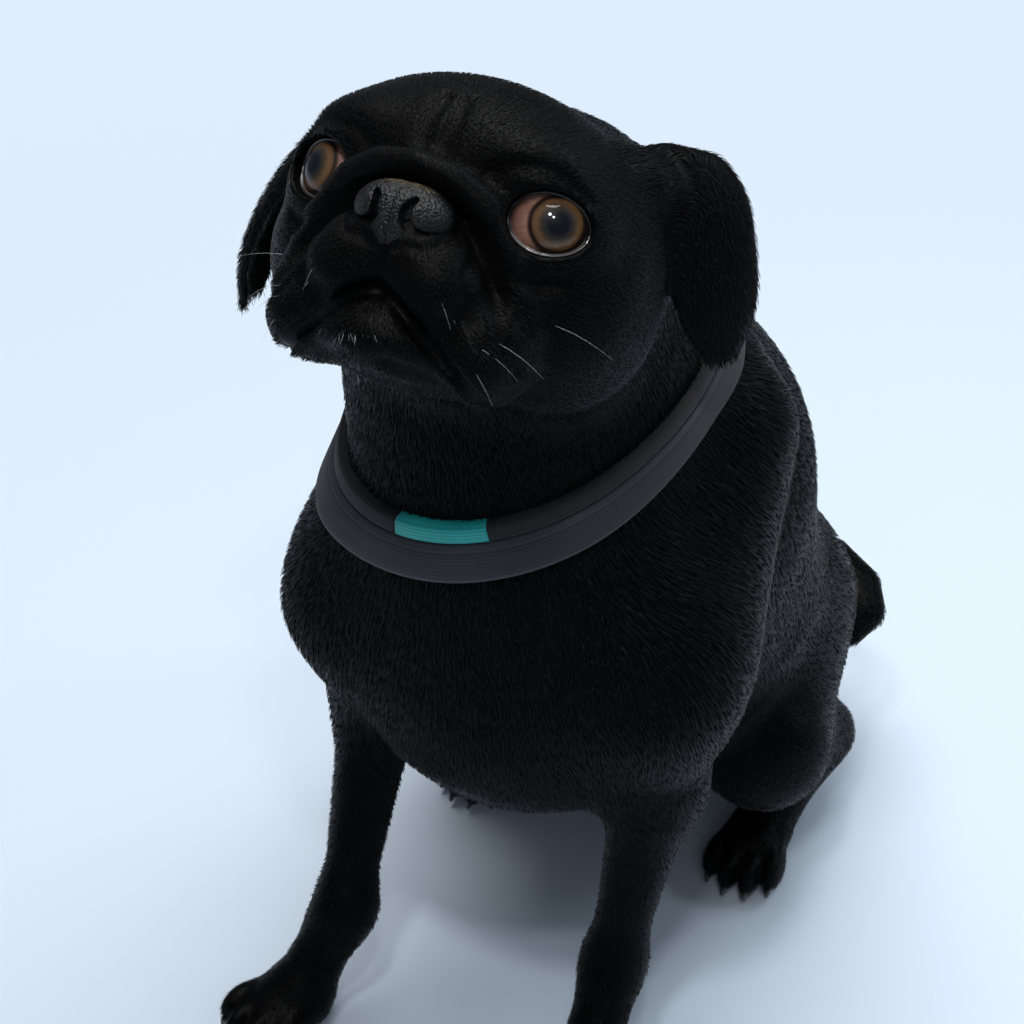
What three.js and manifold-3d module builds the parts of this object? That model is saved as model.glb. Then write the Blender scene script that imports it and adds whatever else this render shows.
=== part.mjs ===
// A sitting black pug, life size, looking up, with a flat collar. Millimetres, +Z up, floor at Z = 0.
// The dog faces -Y and its left side is +X. The origin is under the middle of its bounding box.
import * as THREE from "three";
import Module from "manifold-3d";

const wasm = await Module();
wasm.setup();

// Driving dimensions
const headPitch = THREE.MathUtils.degToRad(36); // how far the face is lifted
const headPlace = [-6, -47.8, 322.8]; // middle of the skull
const eyeRadius = 14.5;
const eyePlace = [34.2, -25, 6]; // left eyeball in the head's frame
const eyeTurn = THREE.MathUtils.degToRad(18); // how far each eye opening faces outwards
const lidHalfWidth = 12.6;
const lidHalfHeight = 9.4;
const skullHalfWidth = 54;
const chestHalfWidth = 72;
const hipHalfWidth = 62;
const elbowHeight = 112;
const wristHeight = 32;
const hockHeight = 27;
const earThickness = 3.4;
const collarWidth = 11;
const strapWidth = 8;
const gap = 0.3; // between touching pieces
const half = gap / 2;
const rootClearance = 1.5; // between a head or rump and what lies on it

// Flesh is a field in millimetres: negative inside, zero on the surface.
const egg = ([cx, cy, cz], [rx, ry, rz], pitch = 0) => {
  const c = Math.cos(pitch);
  const s = Math.sin(pitch);
  return (x, y, z) => {
    const dx = x - cx;
    const dy = (y - cy) * c + (z - cz) * s;
    const dz = -(y - cy) * s + (z - cz) * c;
    const far = Math.sqrt((dx / rx) ** 2 + (dy / ry) ** 2 + (dz / rz) ** 2);
    const slope = Math.sqrt((dx / rx ** 2) ** 2 + (dy / ry ** 2) ** 2 + (dz / rz ** 2) ** 2);
    return slope < 1e-9 ? -Math.min(rx, ry, rz) : (far * (far - 1)) / slope;
  };
};
const bone = ([ax, ay, az], [bx, by, bz], ra, rb) => {
  const [ux, uy, uz] = [bx - ax, by - ay, bz - az];
  const uu = ux * ux + uy * uy + uz * uz;
  return (x, y, z) => {
    const t = Math.min(1, Math.max(0, ((x - ax) * ux + (y - ay) * uy + (z - az) * uz) / uu));
    const [a, b, c] = [x - ax - t * ux, y - ay - t * uy, z - az - t * uz];
    return Math.sqrt(a * a + b * b + c * c) - (ra + (rb - ra) * t);
  };
};
const rope = (points, radii) => {
  const bones = points.slice(1).map((p, i) => bone(points[i], p, radii[i], radii[i + 1]));
  return (x, y, z) => bones.reduce((d, f) => Math.min(d, f(x, y, z)), 1e9);
};
const smoothMin = (a, b, k) => {
  const h = Math.max(k - Math.abs(a - b), 0) / k;
  return Math.min(a, b) - (h * h * k) / 4;
};
const melt = (k, ...fields) => (x, y, z) => {
  let d = fields[0](x, y, z);
  for (let i = 1; i < fields.length; i++) d = smoothMin(d, fields[i](x, y, z), k);
  return d;
};
const carve = (k, body, ...cuts) => (x, y, z) => {
  let d = -body(x, y, z);
  for (const f of cuts) d = smoothMin(d, f(x, y, z), k);
  return -d;
};
const both = (f) => (x, y, z) => f(Math.abs(x), y, z);
const mirrored = (points) => [...points, ...points.slice(0, -1).reverse().map(([x, y, z]) => [-x, y, z])];

// The head's own frame: x to the dog's left, y backwards, z up through the crown.
const pitchCos = Math.cos(headPitch);
const pitchSin = Math.sin(headPitch);
const fromHead = ([x, y, z]) => [
  headPlace[0] + x,
  headPlace[1] + y * pitchCos + z * pitchSin,
  headPlace[2] - y * pitchSin + z * pitchCos,
];
const toHead = (x, y, z) => {
  const dy = y - headPlace[1];
  const dz = z - headPlace[2];
  return [x - headPlace[0], dy * pitchCos - dz * pitchSin, dy * pitchSin + dz * pitchCos];
};

// Head
const skull = melt(
  18,
  egg([0, 12, 12], [skullHalfWidth, 52, 34]),
  both(egg([32, 2, -14], [31, 40, 34])),
  egg([0, -18, 17], [45, 29, 27]),
);
const brow = both(egg([27, -33, 22], [15, 11, 8]));
const orbit = both(egg(eyePlace, [18, 17, 17]));
const muzzle = melt(
  6,
  egg([0, -46, -12], [22, 16, 15]),
  both(egg([13, -47, -20], [16, 15.5, 14])),
  both(egg([29, -34, -34], [15, 19, 18])),
);
const chin = melt(6, egg([0, -45, -39], [20, 17, 11]), egg([0, -20, -36], [36, 36, 17]));
const noseRoll = rope(
  mirrored([[-38, -34, -25], [-31, -41, -9], [-22, -47, 5], [-12, -52, 11], [0, -54, 13]]),
  [6, 6.5, 6, 5, 4.5, 5, 6, 6.5, 6],
);
const browFurrow = both(rope([[6, -52, 22], [9, -50, 33], [8, -42, 44]], [2, 2.4, 1.5]));
const earRoot = both(egg([44, 12, 30], [13, 15, 9]));
const headShape = carve(
  5,
  melt(4, melt(6, melt(10, skull, brow, orbit, earRoot), muzzle, chin), noseRoll),
  browFurrow,
);
const head = (x, y, z) => headShape(...toHead(x, y, z));

// Body
const torso = melt(
  35,
  egg([0, -24, 158], [chestHalfWidth, 60, 72]),
  both(egg([52, -28, 174], [30, 34, 34])),
  egg([0, 40, 195], [66, 62, 64], -0.3),
  egg([0, 45, 160], [73, 66, 84], -0.5),
  egg([0, 75, 105], [72, 70, 72]),
  egg([0, 108, 72], [hipHalfWidth, 56, 75]),
);
const neck = melt(
  20,
  bone([-4, -13, 212], [-12, -17, 287], 62, 57),
  bone([-2, 16, 235], [-5, -4, 288], 60, 51),
);
const foreleg = (elbow, wrist, toes) => {
  const mid = (a, b, t) => a + (b - a) * t;
  const instep = [mid(wrist[0], toes[0], 0.45), mid(wrist[1], toes[1], 0.45), 18];
  return melt(
    14,
    bone([elbow[0] * 0.9, 25, 225], [elbow[0], -38, 160], 28, 28),
    bone([elbow[0], -38, 160], elbow, 27, 18),
    bone(elbow, [...wrist, 42], 17, 10.5),
    bone([...wrist, 42], instep, 10.5, 12),
  );
};
const hindLeg = (side) =>
  melt(
    16,
    bone([side * 34, 112, 88], [side * 60, 60, 68], 42, 27),
    bone([side * 60, 60, 62], [side * 64, 112, 36], 22, 13),
    bone([side * 64, 112, 30], [side * 59, 74, 15], 12, 12),
  );
const paw = (x, y, turn, size) => {
  const c = Math.cos(turn);
  const s = Math.sin(turn);
  const pad = egg([0, 2, 10], [15 * size, 17 * size, 12]);
  const toes = [-12.6, -4.4, 4.4, 12.6].map((u) =>
    egg([u * size, Math.abs(u) > 8 ? -9 : -14, 8.5], [5.4 * size, 10.5, 8.5]),
  );
  const shape = melt(2.5, melt(5, pad, toes[0], toes[3]), toes[1], toes[2]);
  return (px, py, pz) => shape((px - x) * c + (py - y) * s, (py - y) * c - (px - x) * s, pz);
};
const pawPlaces = {
  forepaw_left: [54, -82, 0.06, 1.05],
  forepaw_right: [-62, -99, -0.35, 1.05],
  hind_foot_left: [58, 60, 0.1, 0.95],
  hind_foot_right: [-58, 60, -0.1, 0.95],
};
const paws = Object.values(pawPlaces).map((place) => paw(...place));
const limbs = melt(
  12,
  melt(25, torso, neck),
  foreleg([55, -32, 112], [50, -52], [54, -98]),
  foreleg([-55, -32, 112], [-50, -72], [-66, -112]),
  hindLeg(1),
  hindLeg(-1),
);
const flesh = melt(8, melt(16, limbs, head), ...paws);
const tail = rope(
  [[2, 150, 72], [22, 164, 75], [44, 167, 75], [60, 159, 73], [67, 149, 70], [64, 140, 66]],
  [15, 13.5, 12.5, 11.5, 10.5, 9],
);

// A closed surface of triangles becomes a solid that can be cut and joined.
const solid = (positions, triangles) => {
  const make = (triVerts) =>
    new wasm.Manifold(new wasm.Mesh({ numProp: 3, vertProperties: new Float32Array(positions), triVerts }));
  const made = make(new Uint32Array(triangles));
  if (made.volume() > 0) return made;
  const turned = triangles.map((v, i) => triangles[i % 3 === 0 ? i : i % 3 === 1 ? i + 1 : i - 1]);
  return make(new Uint32Array(turned));
};
const largest = (made) => made.decompose().reduce((a, b) => (a.volume() > b.volume() ? a : b));
const steps = (from, to, size) => {
  const count = Math.round((to - from) / size);
  return Array.from({ length: count + 1 }, (_, i) => from + ((to - from) * i) / count);
};

// Where four grid corners are inside and outside by turns, the surface would touch itself along an edge.
// The nearer outside corner becomes flesh.
const fillPinches = (value, [nx, ny, nz]) => {
  const stride = [1, nx, nx * ny];
  let pinches = 1;
  while (pinches) {
    pinches = 0;
    for (let k = 1; k < nz - 2; k++)
      for (let j = 1; j < ny - 2; j++)
        for (let i = 1; i < nx - 2; i++)
          for (const [p, q] of [[0, 1], [1, 2], [2, 0]]) {
            const a = (k * ny + j) * nx + i;
            const [b, c, d] = [a + stride[p], a + stride[q], a + stride[p] + stride[q]];
            const [ia, ib, ic, id] = [a, b, c, d].map((n) => value[n] < 0);
            if (ia !== id || ib !== ic || ia === ib) continue;
            const outside = ia ? [b, c] : [a, d];
            value[value[outside[0]] < value[outside[1]] ? outside[0] : outside[1]] = -0.05;
            pinches++;
          }
  }
};

// Dual surface of a field over a box grid: one vertex in each cell that the surface crosses.
const corners = [0, 1, 2, 3, 4, 5, 6, 7];
const edges = corners.flatMap((a) => [1, 2, 4].filter((b) => !(a & b)).map((b) => [a, a | b]));
const netOf = (field, xs, ys, zs, move = (p) => p) => {
  const [nx, ny, nz] = [xs.length, ys.length, zs.length];
  const at = (i, j, k) => (k * ny + j) * nx + i;
  const value = new Float32Array(nx * ny * nz);
  for (let k = 0; k < nz; k++)
    for (let j = 0; j < ny; j++)
      for (let i = 0; i < nx; i++) {
        const border = i * j * k === 0 || i === nx - 1 || j === ny - 1 || k === nz - 1;
        value[at(i, j, k)] = border ? 1 : field(...move([xs[i], ys[j], zs[k]]));
      }
  fillPinches(value, [nx, ny, nz]);
  const points = [];
  const cell = new Int32Array(nx * ny * nz).fill(-1);
  for (let k = 0; k < nz - 1; k++)
    for (let j = 0; j < ny - 1; j++)
      for (let i = 0; i < nx - 1; i++) {
        const corner = (n) => at(i + (n & 1), j + ((n >> 1) & 1), k + (n >> 2));
        const sum = [0, 0, 0];
        let crossings = 0;
        for (const [a, b] of edges) {
          const va = value[corner(a)];
          const vb = value[corner(b)];
          if (va < 0 === vb < 0) continue;
          const t = va / (va - vb);
          crossings++;
          [xs, ys, zs].forEach((line, axis) => {
            const start = [i, j, k][axis];
            const from = line[start + ((a >> axis) & 1)];
            sum[axis] += from + t * (line[start + ((b >> axis) & 1)] - from);
          });
        }
        if (!crossings) continue;
        cell[at(i, j, k)] = points.length;
        points.push(move(sum.map((v) => v / crossings)));
      }
  const triangles = [];
  const quad = (a, b, c, d, turn) => {
    if (turn) triangles.push(a, c, b, a, d, c);
    else triangles.push(a, b, c, a, c, d);
  };
  for (let k = 0; k < nz - 1; k++)
    for (let j = 0; j < ny - 1; j++)
      for (let i = 0; i < nx - 1; i++) {
        const inside = value[at(i, j, k)] < 0;
        const near = (di, dj, dk) => cell[at(i - di, j - dj, k - dk)];
        if (j * k && inside !== value[at(i + 1, j, k)] < 0)
          quad(near(0, 1, 1), near(0, 0, 1), near(0, 0, 0), near(0, 1, 0), !inside);
        if (i * k && inside !== value[at(i, j + 1, k)] < 0)
          quad(near(1, 0, 1), near(1, 0, 0), near(0, 0, 0), near(0, 0, 1), !inside);
        if (i * j && inside !== value[at(i, j, k + 1)] < 0)
          quad(near(1, 1, 0), near(0, 1, 0), near(0, 0, 0), near(1, 0, 0), !inside);
      }
  return solid(points.flat(), triangles);
};

// Rings of points joined side to side, with a fan at each end unless the last ring meets the first.
const loft = (rings, closed = false) => {
  const around = rings[0].length;
  const points = rings.flat();
  const triangles = [];
  const last = closed ? rings.length : rings.length - 1;
  for (let r = 0; r < last; r++)
    for (let n = 0; n < around; n++) {
      const [a, b] = [r * around + n, r * around + ((n + 1) % around)];
      const [c, d] = [a, b].map((v) => (v + around) % (rings.length * around));
      triangles.push(a, b, d, a, d, c);
    }
  if (!closed)
    [0, rings.length - 1].forEach((r) => {
      const middle = points.length;
      points.push([0, 1, 2].map((i) => rings[r].reduce((sum, p) => sum + p[i], 0) / around));
      for (let n = 0; n < around; n++) {
        const pair = [r * around + n, r * around + ((n + 1) % around)];
        triangles.push(middle, ...(r ? pair : pair.reverse()));
      }
    });
  return solid(points.flat(), triangles);
};
const vec = (p) => new THREE.Vector3(...p);
const cord = (points, radius, count, sides = 6, closed = false) => {
  const curve = new THREE.CatmullRomCurve3(points.map(vec), closed);
  const rings = Array.from({ length: closed ? count : count + 1 }, (_, i) => {
    const t = i / count;
    const along = curve.getTangentAt(t);
    const side = new THREE.Vector3(0.2, 1, 0.35).cross(along).normalize();
    const up = along.clone().cross(side);
    const r = typeof radius === "number" ? radius : radius(t);
    return Array.from({ length: sides }, (_, n) => {
      const turn = (n / sides) * 2 * Math.PI;
      const p = curve.getPointAt(t).addScaledVector(side, r * Math.cos(turn));
      return p.addScaledVector(up, r * Math.sin(turn)).toArray();
    });
  });
  return loft(rings, closed);
};
const block = (low, high) => {
  const size = high.map((v, i) => v - low[i]);
  const shape = new THREE.BoxGeometry(...size).toNonIndexed();
  const points = corners.map((n) => low.map((v, i) => ((n >> i) & 1 ? high[i] : v)));
  const all = shape.attributes.position;
  const triangles = Array.from({ length: all.count }, (_, v) => {
    const bits = [all.getX(v), all.getY(v), all.getZ(v)].map((c, i) => (c > 0 ? 1 << i : 0));
    return bits[0] + bits[1] + bits[2];
  });
  return solid(points.flat(), triangles);
};
const slab = (point, normal, thickness, reach = 400) => {
  const turn = new THREE.Quaternion().setFromUnitVectors(new THREE.Vector3(0, 0, 1), vec(normal).normalize());
  const square = [[-reach, -reach], [reach, -reach], [reach, reach], [-reach, reach]];
  const ring = (z) => square.map(([x, y]) => vec([x, y, z]).applyQuaternion(turn).add(vec(point)).toArray());
  return loft([ring(0), ring(thickness)]);
};

// Planes and boxes that part the body into its pieces
const collarPoint = [10, -77, 220];
const collarUp = vec([-0.198, -0.302, 0.932]).normalize();
const onCollar = (lift) => vec(collarPoint).addScaledVector(collarUp, lift).toArray();
const jawPoint = [0, -35, 284];
const jawUp = [0, -0.07, 1];
const above = (point, normal) => slab(vec(point).addScaledVector(vec(normal), half).toArray(), normal, 500);
const below = (point, normal) => {
  const down = normal.map((v) => -v);
  return slab(vec(point).addScaledVector(vec(down), half).toArray(), down, 500);
};
const underFloor = block([-400, -400, -60], [400, 400, 0]);
const legBoxes = {
  foreleg_left: [[33, -100, wristHeight], [110, 12, elbowHeight]],
  foreleg_right: [[-110, -100, wristHeight], [-33, 12, elbowHeight]],
  forepaw_left: [[20, -140, -20], [120, 12, wristHeight]],
  forepaw_right: [[-120, -140, -20], [-20, 12, wristHeight]],
  thigh_left: [[46, 16, hockHeight], [120, 190, 132]],
  thigh_right: [[-120, 16, hockHeight], [-46, 190, 132]],
  hind_foot_left: [[36, 20, -20], [120, 150, hockHeight]],
  hind_foot_right: [[-120, 20, -20], [-36, 150, hockHeight]],
};
const grown = ([low, high], by) => block(low.map((v) => v - by), high.map((v) => v + by));
const netIn = ([low, high], size, field = flesh) =>
  netOf(field, ...low.map((v, i) => steps(v - size, high[i] + size, size)));

// Eyes, lids and the lines of the face
const ball = (centre, radius, wide = 16, high = 9) => {
  const rings = Array.from({ length: high - 1 }, (_, j) => {
    const polar = (Math.PI * (j + 1)) / high;
    return Array.from({ length: wide }, (_, i) => {
      const turn = (2 * Math.PI * i) / wide;
      const out = [Math.sin(polar) * Math.cos(turn), -Math.cos(polar), Math.sin(polar) * Math.sin(turn)];
      return fromHead(centre.map((v, axis) => v + radius * out[axis]));
    });
  });
  return loft(rings);
};
const eyeAt = (side) => [side * eyePlace[0], eyePlace[1], eyePlace[2]];
const eyelidPoint = (side, turn, size, w) => {
  const u = size * lidHalfWidth * Math.cos(turn);
  const v = size * lidHalfHeight * Math.sin(turn);
  const deep = w ?? Math.sqrt((eyeRadius + 0.9) ** 2 - u * u - v * v);
  const across = u * Math.cos(eyeTurn) + deep * Math.sin(eyeTurn);
  const forward = deep * Math.cos(eyeTurn) - u * Math.sin(eyeTurn);
  return fromHead([side * (eyePlace[0] + across), eyePlace[1] - forward, eyePlace[2] + v]);
};
const turns = (count) => Array.from({ length: count }, (_, i) => (2 * Math.PI * i) / count);
const lidRing = (side) => cord(turns(20).map((turn) => eyelidPoint(side, turn, 1)), 1.6, 20, 5, true);
const lidOpening = (side) => {
  const depths = [3, 40];
  return loft(depths.map((w) => turns(16).map((turn) => eyelidPoint(side, turn, 0.96, w))));
};
const faceDepth = (x, z, field = headShape) => {
  let y = -90;
  while (field(x, y, z) > 0.05 && y < 60) y += Math.max(0.2, 0.6 * field(x, y, z));
  return y;
};
const line = (points, radius, count, sides = 5, sink = 0.3) =>
  cord(points.map(([x, z]) => fromHead([x, faceDepth(x, z) + sink, z])), radius, count, sides);
const halfMouth = [[39, -47], [33, -47.5], [26, -42], [17.6, -36.7], [8.3, -29], [0, -25]];
const mouthPath = [...halfMouth, ...halfMouth.slice(0, -1).reverse().map(([x, z]) => [-x, z])];
const mouthLine = () => line(mouthPath, (t) => 2 - 0.8 * Math.abs(2 * t - 1), 20, 5);
const philtrum = () => line([[0, -8], [0, -16], [0, -24]], 1.1, 6);
const nosePad = carve(1.5, egg([0, -54, -2], [14.6, 9.8, 8.6]), egg([0, -64.5, -2], [0.9, 2, 6]));
const nostrilPath = [[5.4, 1], [5.2, -4], [7.6, -7.4], [12.6, -7.6]];
const nostril = (side) => {
  const points = nostrilPath.map(([x, z]) => [side * x, faceDepth(side * x, z, nosePad) + 0.6, z]);
  return cord(points.map(fromHead), (t) => 2.1 - t, 6, 5);
};
const noseSolid = (grow) => {
  const lines = [steps(-17, 17, 3.4), steps(-67, -42, 3.6), steps(-14, 10, 3)];
  return netOf((...p) => nosePad(...toHead(...p)) - grow, ...lines, fromHead);
};

// Ears: a thin flap that hangs from its root, with its edges turned in to make the cup.
const earShape = {
  left: {
    middle: [[36, -12, 347], [48, -11, 344], [58, -13, 332], [64, -16, 315], [68, -19, 298], [69, -21, 284]],
    widths: [11, 14, 16, 15.5, 13, 5],
    turn: 0.55,
  },
  right: {
    middle: [
      [-48, -12, 347], [-62, -12, 341], [-79, -14, 327],
      [-93, -17, 306], [-102, -21, 283], [-104, -25, 262],
    ],
    widths: [10, 13, 15, 15.5, 13.5, 6],
    turn: -0.05,
  },
};
const earFlap = (side) => {
  const { middle, widths, turn } = earShape[side];
  const sign = side === "left" ? 1 : -1;
  const curve = new THREE.CatmullRomCurve3(middle.map(vec));
  const wide = new THREE.CatmullRomCurve3(widths.map((w) => vec([w, 0, 0])));
  const across = vec([Math.sin(turn), Math.cos(turn), 0]);
  const columns = 7;
  const rows = 10;
  const rings = Array.from({ length: rows }, (_, j) => {
    const t = j / (rows - 1);
    const centre = curve.getPoint(t);
    const out = across.clone().cross(curve.getTangent(t)).normalize().multiplyScalar(-1);
    if (out.x * sign < 0) out.negate();
    const width = wide.getPoint(t).x;
    const skin = (depth, n) => {
      const u = (2 * n) / (columns - 1) - 1;
      const bend = 0.28 * width * u * u + depth;
      const thin = depth ? 1 - 0.5 * u * u : 1;
      const p = centre.clone().addScaledVector(across, width * Math.sin(u * 1.35));
      return p.addScaledVector(out, -bend * (depth ? thin : 1)).toArray();
    };
    const outer = Array.from({ length: columns }, (_, n) => skin(0, n));
    const inner = Array.from({ length: columns }, (_, n) => skin(earThickness, columns - 1 - n));
    return [...outer, ...inner];
  });
  return loft(rings);
};

// Collar: a band round the neck, and a thinner strap above it with one bright length.
const ringMiddle = vec([-5, -10, 238.5]);
const neckReach = (turn, lift) => {
  const centre = ringMiddle.clone().addScaledVector(collarUp, lift);
  const front = vec([0, -1, 0]).projectOnPlane(collarUp).normalize();
  const side = front.clone().cross(collarUp).normalize();
  const out = front.multiplyScalar(Math.cos(turn)).addScaledVector(side, Math.sin(turn));
  let reach = 130;
  const spot = vec([0, 0, 0]);
  for (let n = 0; n < 80; n++) {
    spot.copy(centre).addScaledVector(out, reach);
    reach -= 0.6 * limbs(...spot);
  }
  return { centre, out, reach };
};
const band = (lift, width, thickness, clearance, from = 0, to = 2 * Math.PI, count = 40) => {
  const closed = to - from > 6.28;
  const rings = Array.from({ length: closed ? count : count + 1 }, (_, i) => {
    const turn = from + ((to - from) * i) / count;
    const low = neckReach(turn, lift - width / 2);
    const high = neckReach(turn, lift + width / 2);
    const spot = (edge, out) => edge.centre.clone().addScaledVector(edge.out, edge.reach + clearance + out);
    return [spot(low, 0), spot(high, 0), spot(high, thickness), spot(low, thickness)].map((p) => p.toArray());
  });
  return loft(rings, closed);
};

// Colours and finishes
const finish = (color, roughness, metalness = 0) => ({ color, roughness, metalness });
const finishes = {
  fur: finish(0x0b0b0c, 0.7),
  nose: finish(0x101011, 0.45),
  eye: finish(0x5a3a1e, 0.08),
  band: finish(0x2c2f36, 0.75),
  strap: finish(0x0a0a0b, 0.8),
  teal: finish(0x18b9ae, 0.5),
};
const pug = new THREE.Group();
const pieces = {};
const add = (name, look, made) => {
  pieces[name] = { look, made: largest(made) };
  return pieces[name].made;
};

const headGrid = [
  [...steps(-66, -46, 6.6), ...steps(-46, 46, 5.4).slice(1), ...steps(46, 66, 6.6).slice(1)],
  [...steps(-70, -26, 4.9), ...steps(-26, 104, 13).slice(1)],
  [...steps(-70, -58, 6), ...steps(-58, 26, 5.2).slice(1), ...steps(26, 58, 8).slice(1)],
];
const lidsAndEyes = [-1, 1].map((side) => ({
  lid: lidRing(side),
  opening: lidOpening(side),
  eye: ball(eyeAt(side), eyeRadius),
  socket: ball(eyeAt(side), eyeRadius + gap),
}));
const aboveJaw = above(jawPoint, jawUp);
const bareHead = (grow) => netOf((...p) => flesh(...p) - grow, ...headGrid, fromHead).intersect(aboveJaw);
const headHull = bareHead(rootClearance);
let face = bareHead(0);
for (const { lid, opening } of lidsAndEyes) face = face.subtract(opening).add(lid);
for (const { socket } of lidsAndEyes) face = face.subtract(socket);
face = face.subtract(mouthLine()).subtract(philtrum()).subtract(noseSolid(gap));
add("head", "fur", face);
add("nose", "nose", noseSolid(0).subtract(nostril(1)).subtract(nostril(-1)));
["right", "left"].forEach((side, i) => {
  add("eye_" + side, "eye", lidsAndEyes[i].eye);
  add("ear_" + side, "fur", earFlap(side).subtract(headHull));
});

const neckBox = [[-82, -100, 190], [82, 90, 300]];
const bandClearance = 0.8;
const strapLift = 10.4; // middle of the strap above the middle of the band
const bandThickness = 3;
const strapThickness = 2.4;
const roomFor = (lift, width) => band(lift, width + 2 * gap, 8, bandClearance - gap);
const collarRoom = roomFor(0, collarWidth).add(roomFor(strapLift, strapWidth));
const neckBelowJaw = netIn(neckBox, 14).intersect(below(jawPoint, jawUp));
add("neck", "fur", neckBelowJaw.intersect(above(onCollar(-12), collarUp.toArray())).subtract(collarRoom));
add("collar_band", "band", band(0, collarWidth, bandThickness, bandClearance));
const strapPiece = (from, to, count) =>
  band(strapLift, strapWidth, strapThickness, bandClearance, from, to, count);
const tealFrom = -0.22; // angles round the neck from straight ahead, towards the dog's right
const tealTo = 0.3;
const endGap = 0.006;
add("collar_strap", "strap", strapPiece(tealTo + endGap, tealFrom + 2 * Math.PI - endGap, 36));
add("collar_clip", "teal", strapPiece(tealFrom, tealTo, 8));

let trunk = netIn([[-84, -98, 0], [84, 176, 290]], 17).subtract(underFloor);
trunk = trunk.intersect(below(onCollar(-12), collarUp.toArray()));
const tailSolid = netIn([[-16, 130, 40], [84, 186, 108]], 7.5, tail);
for (const [name, box] of Object.entries(legBoxes)) {
  trunk = trunk.subtract(grown(box, half));
  const size = name.startsWith("thigh") ? 12.5 : name.startsWith("foreleg") ? 9.3 : 6.8;
  add(name, "fur", netIn(box, size).subtract(underFloor).intersect(grown(box, -half)));
}
add("torso", "fur", trunk.subtract(collarRoom));
const rumpGrid = [steps(-40, 100, 10), steps(90, 190, 10), steps(10, 150, 10)];
const rump = netOf((...p) => flesh(...p) - rootClearance, ...rumpGrid);
const tailWhole = tailSolid.subtract(rump);
const tailCut = [48, 163, 74];
const tailWay = vec([16, -9, -8]).normalize().toArray();
add("tail_base", "fur", tailWhole.intersect(below(tailCut, tailWay)));
add("tail_tip", "fur", tailWhole.intersect(above(tailCut, tailWay)));

// Every piece becomes a named mesh, moved so that the origin is under the middle of the whole.
const bounds = new THREE.Box3();
for (const [name, { look, made }] of Object.entries(pieces)) {
  const mesh = made.getMesh();
  const points = new Float32Array(mesh.numVert * 3);
  for (let v = 0; v < mesh.numVert; v++)
    for (let i = 0; i < 3; i++) points[3 * v + i] = mesh.vertProperties[mesh.numProp * v + i];
  const geometry = new THREE.BufferGeometry();
  geometry.setAttribute("position", new THREE.BufferAttribute(points, 3));
  geometry.setIndex(new THREE.BufferAttribute(mesh.triVerts, 1));
  geometry.computeVertexNormals();
  geometry.computeBoundingBox();
  bounds.union(geometry.boundingBox);
  const shown = new THREE.Mesh(geometry, new THREE.MeshStandardMaterial(finishes[look]));
  shown.name = name;
  pug.add(shown);
}
const middle = bounds.getCenter(new THREE.Vector3());
for (const mesh of pug.children) mesh.position.set(-middle.x, -middle.y, 0);

export default pug;
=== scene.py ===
import math
import bpy
import numpy as np
from mathutils import Matrix, Vector
from mathutils.kdtree import KDTree


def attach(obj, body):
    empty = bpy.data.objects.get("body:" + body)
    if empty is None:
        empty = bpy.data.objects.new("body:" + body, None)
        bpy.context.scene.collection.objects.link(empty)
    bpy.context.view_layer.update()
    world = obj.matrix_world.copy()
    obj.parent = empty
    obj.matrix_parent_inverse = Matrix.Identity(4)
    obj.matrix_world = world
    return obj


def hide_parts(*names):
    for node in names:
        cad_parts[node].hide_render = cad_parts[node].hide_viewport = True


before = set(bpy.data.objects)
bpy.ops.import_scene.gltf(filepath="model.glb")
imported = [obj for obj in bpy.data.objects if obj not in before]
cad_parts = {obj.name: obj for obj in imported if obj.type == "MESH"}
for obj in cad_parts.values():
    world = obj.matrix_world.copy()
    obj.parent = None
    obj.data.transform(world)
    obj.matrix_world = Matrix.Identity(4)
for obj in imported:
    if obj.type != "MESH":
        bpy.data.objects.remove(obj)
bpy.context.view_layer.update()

MM = 0.001
F = np.float32  # what meshes and grids hold

# Driving dimensions, in millimetres: those of the solids, but with thinner ears and a narrower strap
PART_SHIFT = np.array([4.4945, -28.2545, 0.0])  # from the drawing's own origin to the part's
HEAD_PITCH = math.radians(36)
HEAD_PLACE = (-6, -47.8, 322.8)
EYE_RADIUS = 14.5
EYE_PLACE = (34.2, -25, 6)
EYE_TURN = math.radians(18)
LID_HALF_WIDTH = 12.6
LID_HALF_HEIGHT = 9.4
LID_ROLL_RADIUS = 1.7
SKULL_HALF_WIDTH = 54
CHEST_HALF_WIDTH = 72
HIP_HALF_WIDTH = 62
EAR_THICKNESS = 2.6
EAR_CUP = 0.28  # how deep the flap is cupped, as a share of its half width
EAR_CURL = 1.35  # how far its edges turn in, in radians
COLLAR_WIDTH = 11
STRAP_WIDTH = 5.6
BODY_COAT = 2.3  # depth of the coat over the skin
FACE_COAT = 0.7
FOOT_COAT = 1.2
FLOOR_CLEAR = 0.6


# Flesh as a field: negative inside, zero on the surface. Points come as three arrays.
def egg(centre, radii, pitch=0.0):
    """An ellipsoid, tipped about the x axis."""
    (cx, cy, cz), (rx, ry, rz) = centre, radii
    c, s = math.cos(pitch), math.sin(pitch)

    def field(x, y, z):
        dx = x - cx
        dy = (y - cy) * c + (z - cz) * s
        dz = (z - cz) * c - (y - cy) * s
        a, b, d = dx / rx, dy / ry, dz / rz
        far = np.sqrt(a * a + b * b + d * d)
        slope = np.sqrt((a / rx) ** 2 + (b / ry) ** 2 + (d / rz) ** 2)
        return far * (far - 1) / np.maximum(slope, 1e-6)

    return field


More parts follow.
